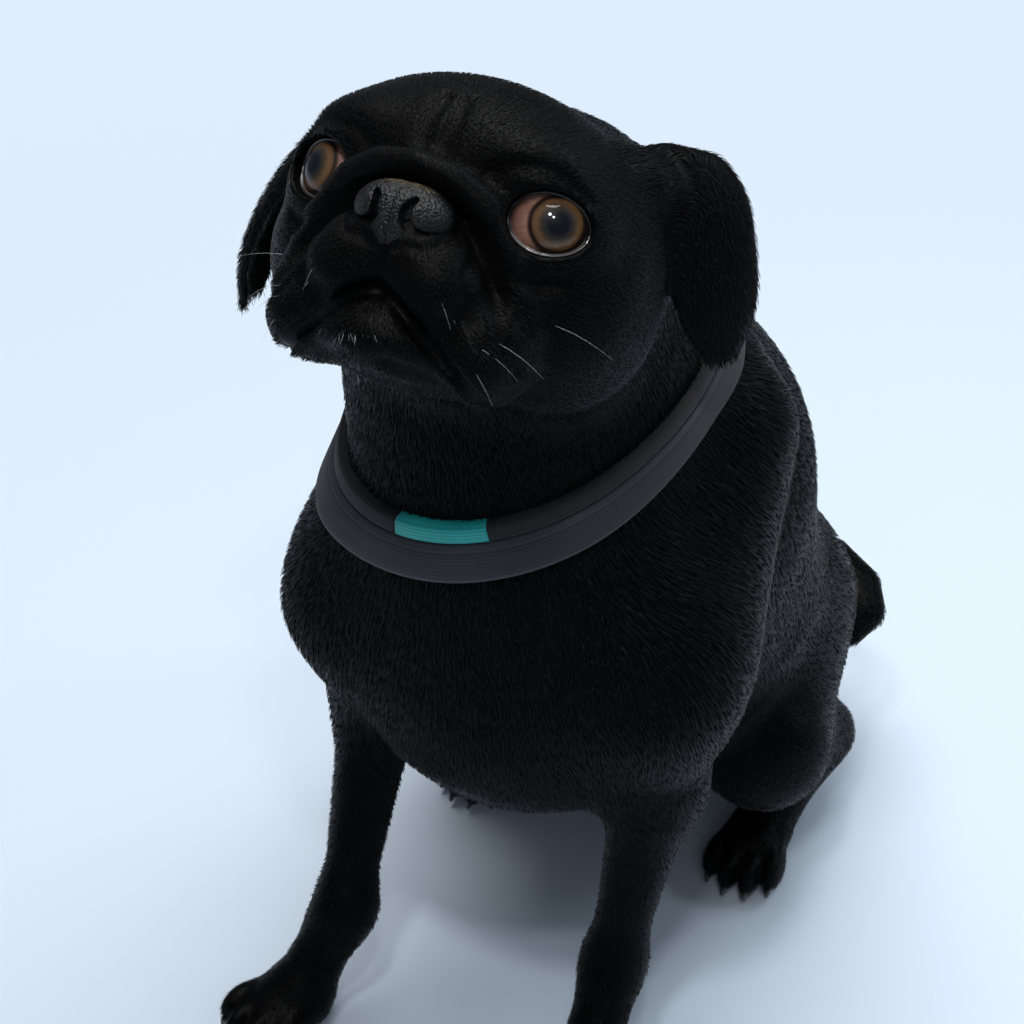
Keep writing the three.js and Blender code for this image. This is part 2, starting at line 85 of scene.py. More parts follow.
def bone(start, end, ra, rb):
    """A round-ended limb whose radius goes from ra to rb."""
    (ax, ay, az), (bx, by, bz) = start, end
    ux, uy, uz = bx - ax, by - ay, bz - az
    uu = ux * ux + uy * uy + uz * uz

    def field(x, y, z):
        dx, dy, dz = x - ax, y - ay, z - az
        t = np.clip((dx * ux + dy * uy + dz * uz) / uu, 0, 1)
        dx, dy, dz = dx - t * ux, dy - t * uy, dz - t * uz
        return np.sqrt(dx * dx + dy * dy + dz * dz) - (ra + (rb - ra) * t)

    return field


def rope(points, radii):
    """A round line through points, with a radius at each."""
    bones = [bone(points[i], points[i + 1], radii[i], radii[i + 1]) for i in range(len(points) - 1)]

    def field(x, y, z):
        d = bones[0](x, y, z)
        for b in bones[1:]:
            d = np.minimum(d, b(x, y, z))
        return d

    return field


def smooth_min(a, b, k):
    """The smaller of two values, rounded where they are within k of each other."""
    h = np.maximum(k - np.abs(a - b), 0) / k
    return np.minimum(a, b) - h * h * k / 4


def melt(k, *fields):
    """Fields joined with a soft crease, about k wide."""

    def field(x, y, z):
        d = fields[0](x, y, z)
        for f in fields[1:]:
            d = smooth_min(d, f(x, y, z), k)
        return d

    return field


def carve(k, body, *cuts):
    """A body with others cut out of it, the edges softened over k."""

    def field(x, y, z):
        d = -body(x, y, z)
        for f in cuts:
            d = smooth_min(d, f(x, y, z), k)
        return -d

    return field


def both(f):
    """A left-hand shape on the left and the right."""
    return lambda x, y, z: f(np.abs(x), y, z)


def mirrored(points):
    """A line that ends on the middle, and on to the other side."""
    return list(points) + [(-x, y, z) for x, y, z in reversed(points[:-1])]


def within(low, high, f, margin=12.0):
    """The field f where a point is in the box, and a plain distance to the box elsewhere."""

    def field(x, y, z):
        d = np.maximum(np.maximum(low[0] - x, x - high[0]), np.maximum(low[1] - y, y - high[1]))
        d = np.maximum(d, np.maximum(low[2] - z, z - high[2])) + margin
        near = d < margin
        d[near] = f(x[near], y[near], z[near])
        return d

    return field


# The head's own frame: x to the dog's left, y backwards, z up through the crown
PITCH_COS, PITCH_SIN = math.cos(HEAD_PITCH), math.sin(HEAD_PITCH)


def from_head(p):
    x, y, z = p
    return (
        HEAD_PLACE[0] + x,
        HEAD_PLACE[1] + y * PITCH_COS + z * PITCH_SIN,
        HEAD_PLACE[2] - y * PITCH_SIN + z * PITCH_COS,
    )


def to_head(x, y, z):
    dy, dz = y - HEAD_PLACE[1], z - HEAD_PLACE[2]
    return x - HEAD_PLACE[0], dy * PITCH_COS - dz * PITCH_SIN, dy * PITCH_SIN + dz * PITCH_COS


skull = melt(
    18,
    egg((0, 12, 12), (SKULL_HALF_WIDTH, 52, 34)),
    both(egg((32, 2, -14), (31, 40, 34))),
    egg((0, -18, 17), (45, 29, 27)),
)
brow = both(egg((27, -33, 22), (15, 11, 8)))
orbit = both(egg(EYE_PLACE, (18, 17, 17)))
muzzle = melt(
    6,
    egg((0, -46, -12), (22, 16, 15)),
    both(egg((13, -47, -20), (16, 15.5, 14))),
    both(egg((29, -34, -34), (15, 19, 18))),
)
chin = melt(6, egg((0, -45, -39), (20, 17, 11)), egg((0, -20, -36), (36, 36, 17)))
nose_roll = rope(
    mirrored([(-38, -34, -25), (-31, -41, -9), (-22, -47, 5), (-12, -52, 11), (0, -54, 13)]),
    [6, 6.5, 6, 5, 4.5, 5, 6, 6.5, 6],
)
brow_furrow = both(rope([(6, -52, 22), (9, -50, 33), (8, -42, 44)], [2, 2.4, 1.5]))
ear_root = both(egg((44, 12, 30), (13, 15, 9)))
head_plain = carve(
    5, melt(4, melt(6, melt(10, skull, brow, orbit, ear_root), muzzle, chin), nose_roll), brow_furrow
)


def one(field, x, y, z):
    return float(field(np.array([x], F), np.array([y], F), np.array([z], F))[0])


def face_depth(x, z, field):
    """Where a line straight back from the front meets the face."""
    y = -90.0
    value = one(field, x, y, z)
    while value > 0.05 and y < 60:
        y += max(0.15, 0.6 * value)
        value = one(field, x, y, z)
    return y


def through(a, b, c, d, t):
    """A smooth curve's point at share t from b to c, with a before them and d after."""
    return 0.5 * (2 * b + (c - a) * t + (2 * a - 5 * b + 4 * c - d) * t**2 + (3 * b - a - 3 * c + d) * t**3)


def with_ends(points):
    points = np.array(points, float)
    return np.vstack([2 * points[0] - points[1], points, 2 * points[-1] - points[-2]])


def on_face(points, field=head_plain, sink=0.0, count=6):
    """A smooth line through (x, z) points, laid on the front of the face."""
    ends = with_ends(points)
    line = []
    for i in range(len(points) - 1):
        a, b, c, d = ends[i : i + 4]
        for t in np.arange(count) / count:
            line.append(through(a, b, c, d, t))
    line.append(ends[-2])
    return [(x, face_depth(x, z, field) + sink, z) for x, z in line]


HALF_MOUTH = [(42, -47.5), (37, -50.5), (32, -49), (26, -43), (17.6, -36.7), (8.3, -29), (0, -25)]
MOUTH = HALF_MOUTH + [(-x, z) for x, z in reversed(HALF_MOUTH[:-1])]
mouth_path = on_face(MOUTH, count=3)
mouth_radii = np.interp(np.linspace(0, 1, len(mouth_path)), [0, 0.2, 0.5, 0.8, 1], [0.7, 1.5, 1.7, 1.5, 0.7])
mouth_deep = [(x, y + 2.2, z - 0.4) for x, y, z in mouth_path]
mouth_line = melt(1.5, rope(mouth_path, mouth_radii), rope(mouth_deep, mouth_radii * 0.9))
philtrum_path = on_face([(0, -8), (0, -16), (0, -24)], count=2)
philtrum = rope(philtrum_path, [0.75] * len(philtrum_path))
# Creases of the face: each is a line on one side, its half width and its softness
CREASES = [
    ([(24, -3), (30, -13), (36, -26), (43, -38)], 1.3, 4.0),
    ([(16, 3), (22, -3), (25, -12), (28, -24), (36, -34)], 1.0, 3.0),
    ([(30, -9), (38, -12), (46, -10)], 0.8, 3.5),
    ([(20, 16), (27, 20), (38, 21), (48, 16)], 0.9, 3.5),
    ([(3, 21), (4, 28), (3, 35)], 1.0, 4.0),
    ([(8, -46), (18, -48), (28, -52)], 1.0, 4.0),
    ([(5, -13.5), (8, -11.5), (14, -11), (18.5, -5)], 0.7, 1.6),
]
crease_ropes = []
for path, radius, softness in CREASES:
    line = on_face(path, count=3)
    crease_ropes.append((rope(line, [radius] * len(line)), softness))


EYE_COS, EYE_SIN = math.cos(EYE_TURN), math.sin(EYE_TURN)


def eye_axes(x, y, z):
    """Places along the lids, forwards and up from the left eye's middle, and how far off they are."""
    dx, dy, up = x - EYE_PLACE[0], y - EYE_PLACE[1], z - EYE_PLACE[2]
    along, forward = dx * EYE_COS + dy * EYE_SIN, dx * EYE_SIN - dy * EYE_COS
    return along, forward, up, np.sqrt(dx * dx + dy * dy + up * up)


def lid_share(along, up):
    """1 on the edge of the eye opening, less inside it; and the distance from its middle."""
    share = np.sqrt((along / LID_HALF_WIDTH) ** 2 + (up / LID_HALF_HEIGHT) ** 2) + 1e-6
    return share, np.sqrt(along * along + up * up)


def lid_ring(x, y, z):
    """A thin roll round the eye opening, on the eyeball's own curve."""
    along, forward, up, far = eye_axes(x, y, z)
    share, from_middle = lid_share(along, up)
    across = (share - 1) * from_middle / share
    lift = far - (EYE_RADIUS + 0.9)
    return np.where(forward > 0, np.sqrt(across**2 + lift**2) - LID_ROLL_RADIUS, 20.0)


def lid_opening(x, y, z):
    along, forward, up, _ = eye_axes(x, y, z)
    share, from_middle = lid_share(along, up)
    return np.maximum((share - 0.97) * from_middle / share, 5 - forward)


def head_shape(x, y, z):
    """The head with its creases, mouth, lip groove and lids."""
    d = head_plain(x, y, z)
    for crease, softness in crease_ropes:
        d = -smooth_min(-d, crease(np.abs(x), y, z), softness)
    d = -smooth_min(-d, mouth_line(x, y, z), 1.6)
    d = -smooth_min(-d, philtrum(x, y, z), 1.2)
    a = np.abs(x)
    d = smooth_min(d, lid_ring(a, y, z), 2.0)
    return -smooth_min(-d, lid_opening(a, y, z), 0.8)


def head(x, y, z):
    return head_shape(*to_head(x, y, z))


# Body
torso = melt(
    35,
    egg((0, -24, 158), (CHEST_HALF_WIDTH, 60, 72)),
    both(egg((52, -28, 174), (30, 34, 34))),
    egg((0, 40, 195), (66, 62, 64), -0.3),
    egg((0, 45, 160), (73, 66, 84), -0.5),
    egg((0, 75, 105), (72, 70, 72)),
    egg((0, 108, 72), (HIP_HALF_WIDTH, 56, 75)),
)
neck = melt(20, bone((-4, -13, 212), (-12, -17, 287), 62, 57), bone((-2, 16, 235), (-5, -4, 288), 60, 51))


def foreleg(elbow, wrist, toes):
    """A front leg from its shoulder to its instep; wrist and toes are places on the floor's plan."""
    instep = (wrist[0] + (toes[0] - wrist[0]) * 0.45, wrist[1] + (toes[1] - wrist[1]) * 0.45, 18)
    shoulder = (elbow[0], -38, 160)
    return melt(
        14,
        bone((elbow[0] * 0.9, 25, 225), shoulder, 28, 28),
        bone(shoulder, elbow, 27, 18),
        bone(elbow, (*wrist, 42), 17, 10.5),
        bone((*wrist, 42), instep, 10.5, 12),
    )


def hind_leg(side):
    """A folded hind leg: thigh, shin and hock."""
    return melt(
        16,
        bone((side * 34, 112, 88), (side * 60, 60, 68), 42, 27),
        bone((side * 60, 60, 62), (side * 64, 112, 36), 22, 13),
        bone((side * 64, 112, 30), (side * 59, 74, 15), 12, 12),
    )


TOES = (-12.6, -4.4, 4.4, 12.6)  # across the paw
TOE_LENGTH = 10.5  # from a toe's middle to its end


def toe_middle(across):
    return -9 if abs(across) > 8 else -14


def paw(x0, y0, turn, size):
    """A foot turned about its own place, with four toes forwards."""
    c, s = math.cos(turn), math.sin(turn)
    toes = [egg((u * size, toe_middle(u), 8.5), (5.4 * size, TOE_LENGTH, 8.5)) for u in TOES]
    sole = melt(5, egg((0, 2, 10), (15 * size, 17 * size, 12)), toes[0], toes[3])
    shape = melt(2.5, sole, toes[1], toes[2])
    return lambda x, y, z: shape((x - x0) * c + (y - y0) * s, (y - y0) * c - (x - x0) * s, z)


PAWS = {
    "forepaw_left": (54, -82, 0.06, 1.05),
    "forepaw_right": (-62, -99, -0.35, 1.05),
    "hind_foot_left": (58, 60, 0.1, 0.95),
    "hind_foot_right": (-58, 60, -0.1, 0.95),
}
paws = [
    within((x - 34, y - 40, -10), (x + 34, y + 34, 36), paw(x, y, turn, size))
    for x, y, turn, size in PAWS.values()
]
limbs = melt(
    12,
    melt(25, torso, neck),
    foreleg((55, -32, 112), (50, -52), (54, -98)),
    foreleg((-55, -32, 112), (-50, -72), (-66, -112)),
    hind_leg(1),
    hind_leg(-1),
)
TAIL = [(2, 150, 72), (22, 164, 75), (44, 167, 75), (60, 159, 73), (67, 149, 70), (64, 140, 66)]
tail = rope(TAIL, [15, 13.5, 12.5, 11.5, 10.5, 9])
head_boxed = within((-85, -145, 255), (75, 60, 390), head, 30)

# Ears: the mid-surface of each flap, with its edges turned in to make the cup. The right one hangs
# up to 4 mm further out than its solid.
EARS = {
    1: dict(
        middle=[
            (36, -12, 347), (48, -11, 344), (58, -13, 332), (64, -16, 315), (68, -19, 298), (69, -21, 284),
        ],
        widths=[11, 14, 16, 15.5, 13, 5],
        turn=0.55,
    ),
    -1: dict(
        middle=[
            (-48, -12, 347), (-63, -12, 342), (-82, -14, 328), (-97, -17, 307), (-106, -21, 284),
            (-108, -25, 263),
        ],
        widths=[10, 13, 15, 15.5, 13.5, 6],
        turn=-0.05,
    ),
}


def smooth_through(points, t):
    """A curve through points at shares t of its length from 0 to 1."""
    ends = with_ends(points)
    place = np.clip(np.asarray(t) * (len(points) - 1), 0, len(points) - 1 - 1e-6)
    i = place.astype(int)
    f = (place - i)[:, None]
    return through(ends[i], ends[i + 1], ends[i + 2], ends[i + 3], f)


def ear_surface(side, rows, columns):
    """Points all over an ear's mid-surface, row by row."""
    ear = EARS[side]
    t = np.linspace(0, 1, rows)
    centre = smooth_through(ear["middle"], t)
    width = smooth_through([(w, 0, 0) for w in ear["widths"]], t)[:, 0]
    across = np.array([math.sin(ear["turn"]), math.cos(ear["turn"]), 0])
    out = np.cross(across, np.gradient(centre, axis=0))
    out /= np.linalg.norm(out, axis=1)[:, None]
    out *= np.sign(out[:, :1] * side + 1e-9)
    u = np.linspace(-1, 1, columns)
    bend = EAR_CUP * width[:, None] * u**2 + 0.5 * EAR_THICKNESS + 0.4
    sideways = (width[:, None] * np.sin(EAR_CURL * u))[..., None]
    return centre[:, None] + across * sideways - out[:, None] * bend[..., None]


def ear_field(side):
    """The flap as the distance from its mid-surface, less half its thickness."""
    points = ear_surface(side, 110, 64).reshape(-1, 3)
    tree = KDTree(len(points))
    for n, p in enumerate(points):
        tree.insert(p, n)
    tree.balance()
    low, high = points.min(0) - 7, points.max(0) + 7

    def near(x, y, z):
        far = [tree.find(p)[2] for p in zip(x.tolist(), y.tolist(), z.tolist())]
        return np.array(far, F) - EAR_THICKNESS / 2

    return within(tuple(low), tuple(high), near, 7)


ears = [ear_field(1), ear_field(-1)]


def flesh(x, y, z):
    """The dog without its ears, as far out as its coat reaches."""
    d = smooth_min(limbs(x, y, z), head_boxed(x, y, z), 16)
    for f in paws:
        d = smooth_min(d, f(x, y, z), 8)
    return smooth_min(d, tail(x, y, z), 5)


def ramp(v, low, high):
    """0 at low and 1 at high, with a smooth step between them; low may be the larger."""
    t = np.clip((v - low) / (high - low), 0, 1)
    return t * t * (3 - 2 * t)


def coat_depth(x, y, z):
    """How far the skin lies inside the outline: thin on the face and feet, thicker on the body."""
    _, hy, hz = to_head(x, y, z)
    face = ramp(hy, 35, -15) * ramp(hz, -75, -50)
    foot = ramp(z, 75, 20)
    depth = BODY_COAT + (FACE_COAT - BODY_COAT) * face
    return depth + (FOOT_COAT - depth) * foot


def skin_field(x, y, z):
    """The skin under the coat, with the ears, cut flat just over the floor."""
    d = flesh(x, y, z) + coat_depth(x, y, z)
    for f in ears:
        d = smooth_min(d, f(x, y, z), 4)
    return np.maximum(d, FLOOR_CLEAR - z)


def gradient(field, p, step=0.25):
    """A field's value and slope at each point."""
    x, y, z = p.T
    base = field(x, y, z)
    grad = np.stack([field(x + step, y, z), field(x, y + step, z), field(x, y, z + step)], 1) - base[:, None]
    return base, grad / step


def settle(field, p, rounds=3, most=1.2):
    """Moves points onto the field's surface."""
    for _ in range(rounds):
        value, grad = gradient(field, p)
        move = -value[:, None] * grad / np.maximum((grad**2).sum(1), 0.2)[:, None]
        size = np.linalg.norm(move, axis=1)[:, None]
        p = p + move * np.minimum(1, most / np.maximum(size, 1e-6))
    return p


def surface_of(field, xs, ys, zs, chunk=400000):
    """Four-sided faces over the zero surface of a field on a box grid."""
    xs, ys, zs = [np.asarray(v, F) for v in (xs, ys, zs)]
    grid = np.stack(np.meshgrid(xs, ys, zs, indexing="ij"), -1).reshape(-1, 3)
    value = np.concatenate([field(*grid[i : i + chunk].T) for i in range(0, len(grid), chunk)])
    value = value.reshape(len(xs), len(ys), len(zs))
    inside = value < 0
    shape = tuple(n - 1 for n in value.shape)
    total = np.zeros((*shape, 3), F)
    crossings = np.zeros(shape, F)
    lines = (xs, ys, zs)

    def corner(array, offset):
        return array[tuple(slice(o, o + n) for o, n in zip(offset, shape))]

    def line_at(axis, offset):
        cut = lines[axis][offset : offset + shape[axis]]
        return cut.reshape([-1 if a == axis else 1 for a in range(3)])

    for axis in range(3):
        for p in (0, 1):
            for q in (0, 1):
                a = [p, q]
                a.insert(axis, 0)
                b = list(a)
                b[axis] = 1
                va, vb = corner(value, a), corner(value, b)
                cross = corner(inside, a) != corner(inside, b)
                t = np.where(cross, va / np.where(cross, va - vb, 1), 0)
                crossings += cross
                for k in range(3):
                    place = line_at(k, a[k])
                    if k == axis:
                        place = place + t * (line_at(k, 1) - line_at(k, 0))
                    total[..., k] += cross * place
    used = crossings > 0
    index = np.full(shape, -1, np.int64)
    index[used] = np.arange(used.sum())
    points = total[used] / crossings[used][:, None]
    faces = []
    for axis in range(3):
        low = [slice(1, -1)] * 3
        high = [slice(1, -1)] * 3
        low[axis], high[axis] = slice(0, -1), slice(1, None)
        start, end = inside[tuple(low)], inside[tuple(high)]
        where = np.argwhere(start != end)
        first = start[tuple(where.T)]
        where[:, [k for k in range(3) if k != axis]] += 1
        p, q = (axis + 1) % 3, (axis + 2) % 3

        def cell(dp, dq):
            at = where.copy()
            at[:, p] -= dp
            at[:, q] -= dq
            return index[tuple(at.T)]

        quad = np.stack([cell(1, 1), cell(0, 1), cell(0, 0), cell(1, 0)], 1)
        quad[~first] = quad[~first][:, ::-1]
        faces.append(quad)
    return points, np.concatenate(faces)


def spaced(*stops):
    """Grid lines from (position, spacing) stops: each spacing holds up to the next position."""
    lines = []
    for (start, size), (end, _) in zip(stops, stops[1:]):
        lines.extend(np.linspace(start, end, max(1, round((end - start) / size)), endpoint=False))
    return lines + [stops[-1][0]]


# Meshes
def mesh_piece(name, points, faces, material, slot_name, replace=()):
    """A mesh from points in millimetres; faces is a table of vertex numbers, one row a face."""
    points = (np.asarray(points, float) + PART_SHIFT) * MM
    mesh = bpy.data.meshes.new(name)
    mesh.vertices.add(len(points))
    mesh.vertices.foreach_set("co", points.astype(F).ravel())
    faces = np.asarray(faces)
    mesh.loops.add(faces.size)
    mesh.loops.foreach_set("vertex_index", faces.astype(np.int32).ravel())
    mesh.polygons.add(len(faces))
    mesh.polygons.foreach_set("loop_start", np.arange(len(faces), dtype=np.int32) * faces.shape[1])
    mesh.update(calc_edges=True)
    mesh.validate()
    mesh.polygons.foreach_set("use_smooth", np.full(len(mesh.polygons), True))
    piece = bpy.data.objects.new(name, mesh)
    bpy.context.scene.collection.objects.link(piece)
    mesh.materials.append(material)
    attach(piece, "root")
    if replace:
        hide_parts(*replace)
    return piece


def corner_vertices(piece):
    """The vertex number at each face corner."""
    loops = np.empty(len(piece.data.loops), np.int32)
    piece.data.loops.foreach_get("vertex_index", loops)
    return loops


def set_map(piece, name, uv):
    """A UV map with one row of uv to each face corner."""
    layer = piece.data.uv_layers.new(name=name)
    layer.data.foreach_set("uv", uv.astype(F).ravel())


# Shading
def nodes_of(name, values=None):
    """A material with one Principled shader; returns it with its node tree and shader."""
    material = bpy.data.materials.new(name)
    material.use_nodes = True
    tree = material.node_tree
    shader = tree.nodes["Principled BSDF"]
    for key, value in (values or {}).items():
        shader.inputs[key].default_value = value
    return material, tree, shader


def node(tree, kind, inputs=None, **settings):
    """A shader node with its settings, and with each input set or linked."""
    made = tree.nodes.new(kind)
    for key, value in settings.items():
        setattr(made, key, value)
    for key, value in (inputs or {}).items():
        if isinstance(value, bpy.types.NodeSocket):
            tree.links.new(value, made.inputs[key])
        else:
            made.inputs[key].default_value = value
    return made


def maths(tree, operation, *values, **settings):
    return node(tree, "ShaderNodeMath", dict(enumerate(values)), operation=operation, **settings).outputs[0]


def spread(tree, value, source=(0.0, 1.0), target=(0.0, 1.0), **settings):
    """A value taken from one range to another, and held at its ends."""
    ends = {"From Min": source[0], "From Max": source[1], "To Min": target[0], "To Max": target[1]}
    return node(tree, "ShaderNodeMapRange", {"Value": value, **ends}, **settings).outputs["Result"]


def blend(tree, factor, a, b, **settings):
    return node(
        tree, "ShaderNodeMix", {"Factor": factor, "A": a, "B": b}, data_type="RGBA", **settings
    ).outputs["Result"]


def here(tree):
    """The place in the object's own space."""
    return node(tree, "ShaderNodeTexCoord").outputs["Object"]


def noise(tree, vector, scale, detail=3.0):
    given = {"Vector": vector, "Scale": scale, "Detail": detail}
    return node(tree, "ShaderNodeTexNoise", given).outputs["Fac"]


def new_group(name, inputs, outputs):
    """A shader node group with named sockets: (kind, name, start value)."""
    group = bpy.data.node_groups.new(name, "ShaderNodeTree")
    kinds = {"value": "NodeSocketFloat", "colour": "NodeSocketColor", "vector": "NodeSocketVector"}
    for kind, label, start in inputs:
        socket = group.interface.new_socket(name=label, in_out="INPUT", socket_type=kinds[kind])
        socket.default_value = start
    for kind, label in outputs:
        group.interface.new_socket(name=label, in_out="OUTPUT", socket_type=kinds[kind])
    return group, group.nodes.new("NodeGroupInput").outputs, group.nodes.new("NodeGroupOutput").inputs


def coat_markings():
    """Two blacks mixed in clumps, with a gloss that varies with the finer noise."""
    group, given, out = new_group(
        "coat markings",
        [("colour", "Black", (0.006, 0.006, 0.007, 1)), ("colour", "Worn", (0.022, 0.021, 0.022, 1)),
         ("value", "Clump size", 60.0), ("value", "Mix", 0.5)],
        [("colour", "Colour"), ("value", "Roughness")],
    )
    place = here(group)
    broad = noise(group, place, 22.0)
    fine = noise(group, place, given["Clump size"], 4.0)
    share = spread(group, maths(group, "MULTIPLY", broad, fine), (0.12, 0.42))
    amount = maths(group, "MULTIPLY", share, given["Mix"])
    group.links.new(blend(group, amount, given["Black"], given["Worn"]), out["Colour"])
    group.links.new(spread(group, fine, target=(0.3, 0.46)), out["Roughness"])
    return group


def fine_bump():
    """Grain from noise at one scale, as a normal."""
    group, given, out = new_group(
        "fine grain",
        [("value", "Scale", 400.0), ("value", "Strength", 0.4), ("value", "Depth", 0.0005),
         ("vector", "Stretch", (1, 1, 1))],
        [("vector", "Normal"), ("value", "Height")],
    )
    scaled = node(group, "ShaderNodeVectorMath", {0: here(group), 1: given["Stretch"]}, operation="MULTIPLY")
    height = noise(group, scaled.outputs[0], given["Scale"])
    bump = node(
        group, "ShaderNodeBump", {"Height": height, "Strength": given["Strength"], "Distance": given["Depth"]}
    )
    group.links.new(bump.outputs["Normal"], out["Normal"])
    group.links.new(height, out["Height"])
    return group


COAT_MARKINGS = coat_markings()
FINE_GRAIN = fine_bump()


def placed(tree, group, values):
    """A node group in a material, with its own values."""
    made = tree.nodes.new("ShaderNodeGroup")
    made.node_tree = group
    for key, value in values.items():
        made.inputs[key].default_value = value
    return made.outputs


def coat_material(name, black, worn, clump, mix, grain, strength, depth, sheen, shine):
    """Black fur: clump and grain are noise scales, strength and depth are the bump's."""
    material, tree, shader = nodes_of(
        name,
        {"Sheen Weight": sheen, "Sheen Roughness": 0.35, "Sheen Tint": (0.75, 0.82, 1.0, 1),
         "Specular IOR Level": shine},
    )
    colour = placed(tree, COAT_MARKINGS, {"Black": black, "Worn": worn, "Clump size": clump, "Mix": mix})
    tree.links.new(colour["Colour"], shader.inputs["Base Color"])
    tree.links.new(colour["Roughness"], shader.inputs["Roughness"])
    bump = placed(tree, FINE_GRAIN, {"Scale": grain, "Strength": strength, "Depth": depth})
    tree.links.new(bump["Normal"], shader.inputs["Normal"])
    return material


SKIN_LOOK = coat_material(
    "short black fur on skin", (0.001, 0.001, 0.0012, 1), (0.003, 0.003, 0.0032, 1),
    clump=90.0, mix=0.7, grain=900.0, strength=0.5, depth=0.0006, sheen=0.0, shine=0.05,
)
COAT_LOOK = coat_material(
    "black guard hairs", (0.001, 0.001, 0.0011, 1), (0.0035, 0.0035, 0.0036, 1),
    clump=140.0, mix=0.8, grain=500.0, strength=0.2, depth=0.0003, sheen=0.004, shine=0.12,
)


def nose_look():
    """Pebbled black leather with painted shade in the cracks between its pebbles, matt and pale where it is
    dry along the top.
    """
    material, tree, shader = nodes_of(
        "nose leather",
        {"Coat Weight": 0.05, "Coat Roughness": 0.3, "Specular IOR Level": 0.32, "Roughness": 0.48},
    )
    place = here(tree)
    cells = node(tree, "ShaderNodeTexVoronoi", {"Vector": place, "Scale": 1050.0})
    height = spread(tree, cells.outputs["Distance"], target=(1.0, 0.0))
    bump = node(tree, "ShaderNodeBump", {"Height": height, "Strength": 0.8, "Distance": 0.0006})
    tree.links.new(bump.outputs["Normal"], shader.inputs["Normal"])
    # Painted shade: the leather is coloured darker in the cracks between the pebbles and lighter on their
    # raised middles
    tone = blend(tree, height, (0.0015, 0.0015, 0.002, 1), (0.006, 0.006, 0.007, 1))
    # The rim is dry above a height in the head's frame, with a ragged lower edge
    crown = (0, PITCH_SIN, PITCH_COS)
    up = node(tree, "ShaderNodeVectorMath", {0: place, 1: crown}, operation="DOT_PRODUCT").outputs["Value"]
    middle = float(np.dot(np.array(from_head((0, -54, 0))) + PART_SHIFT, crown)) * MM
    edge = maths(tree, "ADD", up, maths(tree, "MULTIPLY", noise(tree, place, 700.0), 0.006))
    dry = spread(tree, edge, (middle + 0.0082, middle + 0.0102), (0.0, 0.75))
    tree.links.new(blend(tree, dry, tone, (0.12, 0.085, 0.045, 1)), shader.inputs["Base Color"])
    return material


# Colours from the pupil's middle outwards, by angle as a share of half a turn
EYE_STOPS = [
    (0.0, (0.001, 0.002, 0.005, 1)), (0.066, (0.001, 0.002, 0.005, 1)), (0.08, (0.009, 0.01, 0.012, 1)),
    (0.11, (0.034, 0.024, 0.015, 1)), (0.145, (0.12, 0.064, 0.028, 1)), (0.17, (0.1, 0.05, 0.022, 1)),
    (0.184, (0.008, 0.006, 0.005, 1)), (0.2, (0.03, 0.015, 0.011, 1)), (0.222, (0.3, 0.16, 0.12, 1)),
    (0.3, (0.26, 0.13, 0.1, 1)), (0.4, (0.05, 0.02, 0.02, 1)),
]


def eye_rings(tree, uv, angle):
    """Pupil, amber iris and pinkish brown white as rings, with fine rays across them."""
    band = node(tree, "ShaderNodeValToRGB", {"Fac": angle})
    stops = band.color_ramp.elements
    stops[0].position, stops[0].color = EYE_STOPS[0]
    stops[1].position, stops[1].color = EYE_STOPS[-1]
    for position, colour in EYE_STOPS[1:-1]:
        stops.new(position).color = colour
    drawn_out = node(tree, "ShaderNodeVectorMath", {0: uv, 1: (60.0, 3.0, 1.0)}, operation="MULTIPLY")
    light = spread(tree, noise(tree, drawn_out.outputs[0], 2.0), target=(0.55, 1.45))
    return blend(tree, 1.0, band.outputs["Color"], light, blend_type="MULTIPLY")


def away_from_nose(tree, around, angle):
    """1 on the white of the eye on the side away from the nose."""
    towards = maths(tree, "COSINE", maths(tree, "MULTIPLY", around, 2 * math.pi))
    return maths(tree, "MULTIPLY", spread(tree, towards, (0.75, 0.25)), spread(tree, angle, (0.19, 0.2)))


def eye_look():
    """The map's U runs round the pupil from the nose's side, and its V is the angle from its middle."""
    material, tree, shader = nodes_of(
        "eyeball", {"Coat Weight": 1.0, "Coat Roughness": 0.02, "Roughness": 0.4, "Specular IOR Level": 0.1}
    )
    uv = node(tree, "ShaderNodeUVMap", uv_map="Eye").outputs["UV"]
    split = node(tree, "ShaderNodeSeparateXYZ", {"Vector": uv}).outputs
    wobble = maths(tree, "MULTIPLY", maths(tree, "ADD", noise(tree, here(tree), 260.0), -0.5), 0.012)
    angle = maths(tree, "ADD", split["Y"], wobble)
    dark = away_from_nose(tree, split["X"], angle)
    colour = blend(tree, dark, eye_rings(tree, uv, angle), (0.012, 0.008, 0.007, 1))
    tree.links.new(colour, shader.inputs["Base Color"])
    return material


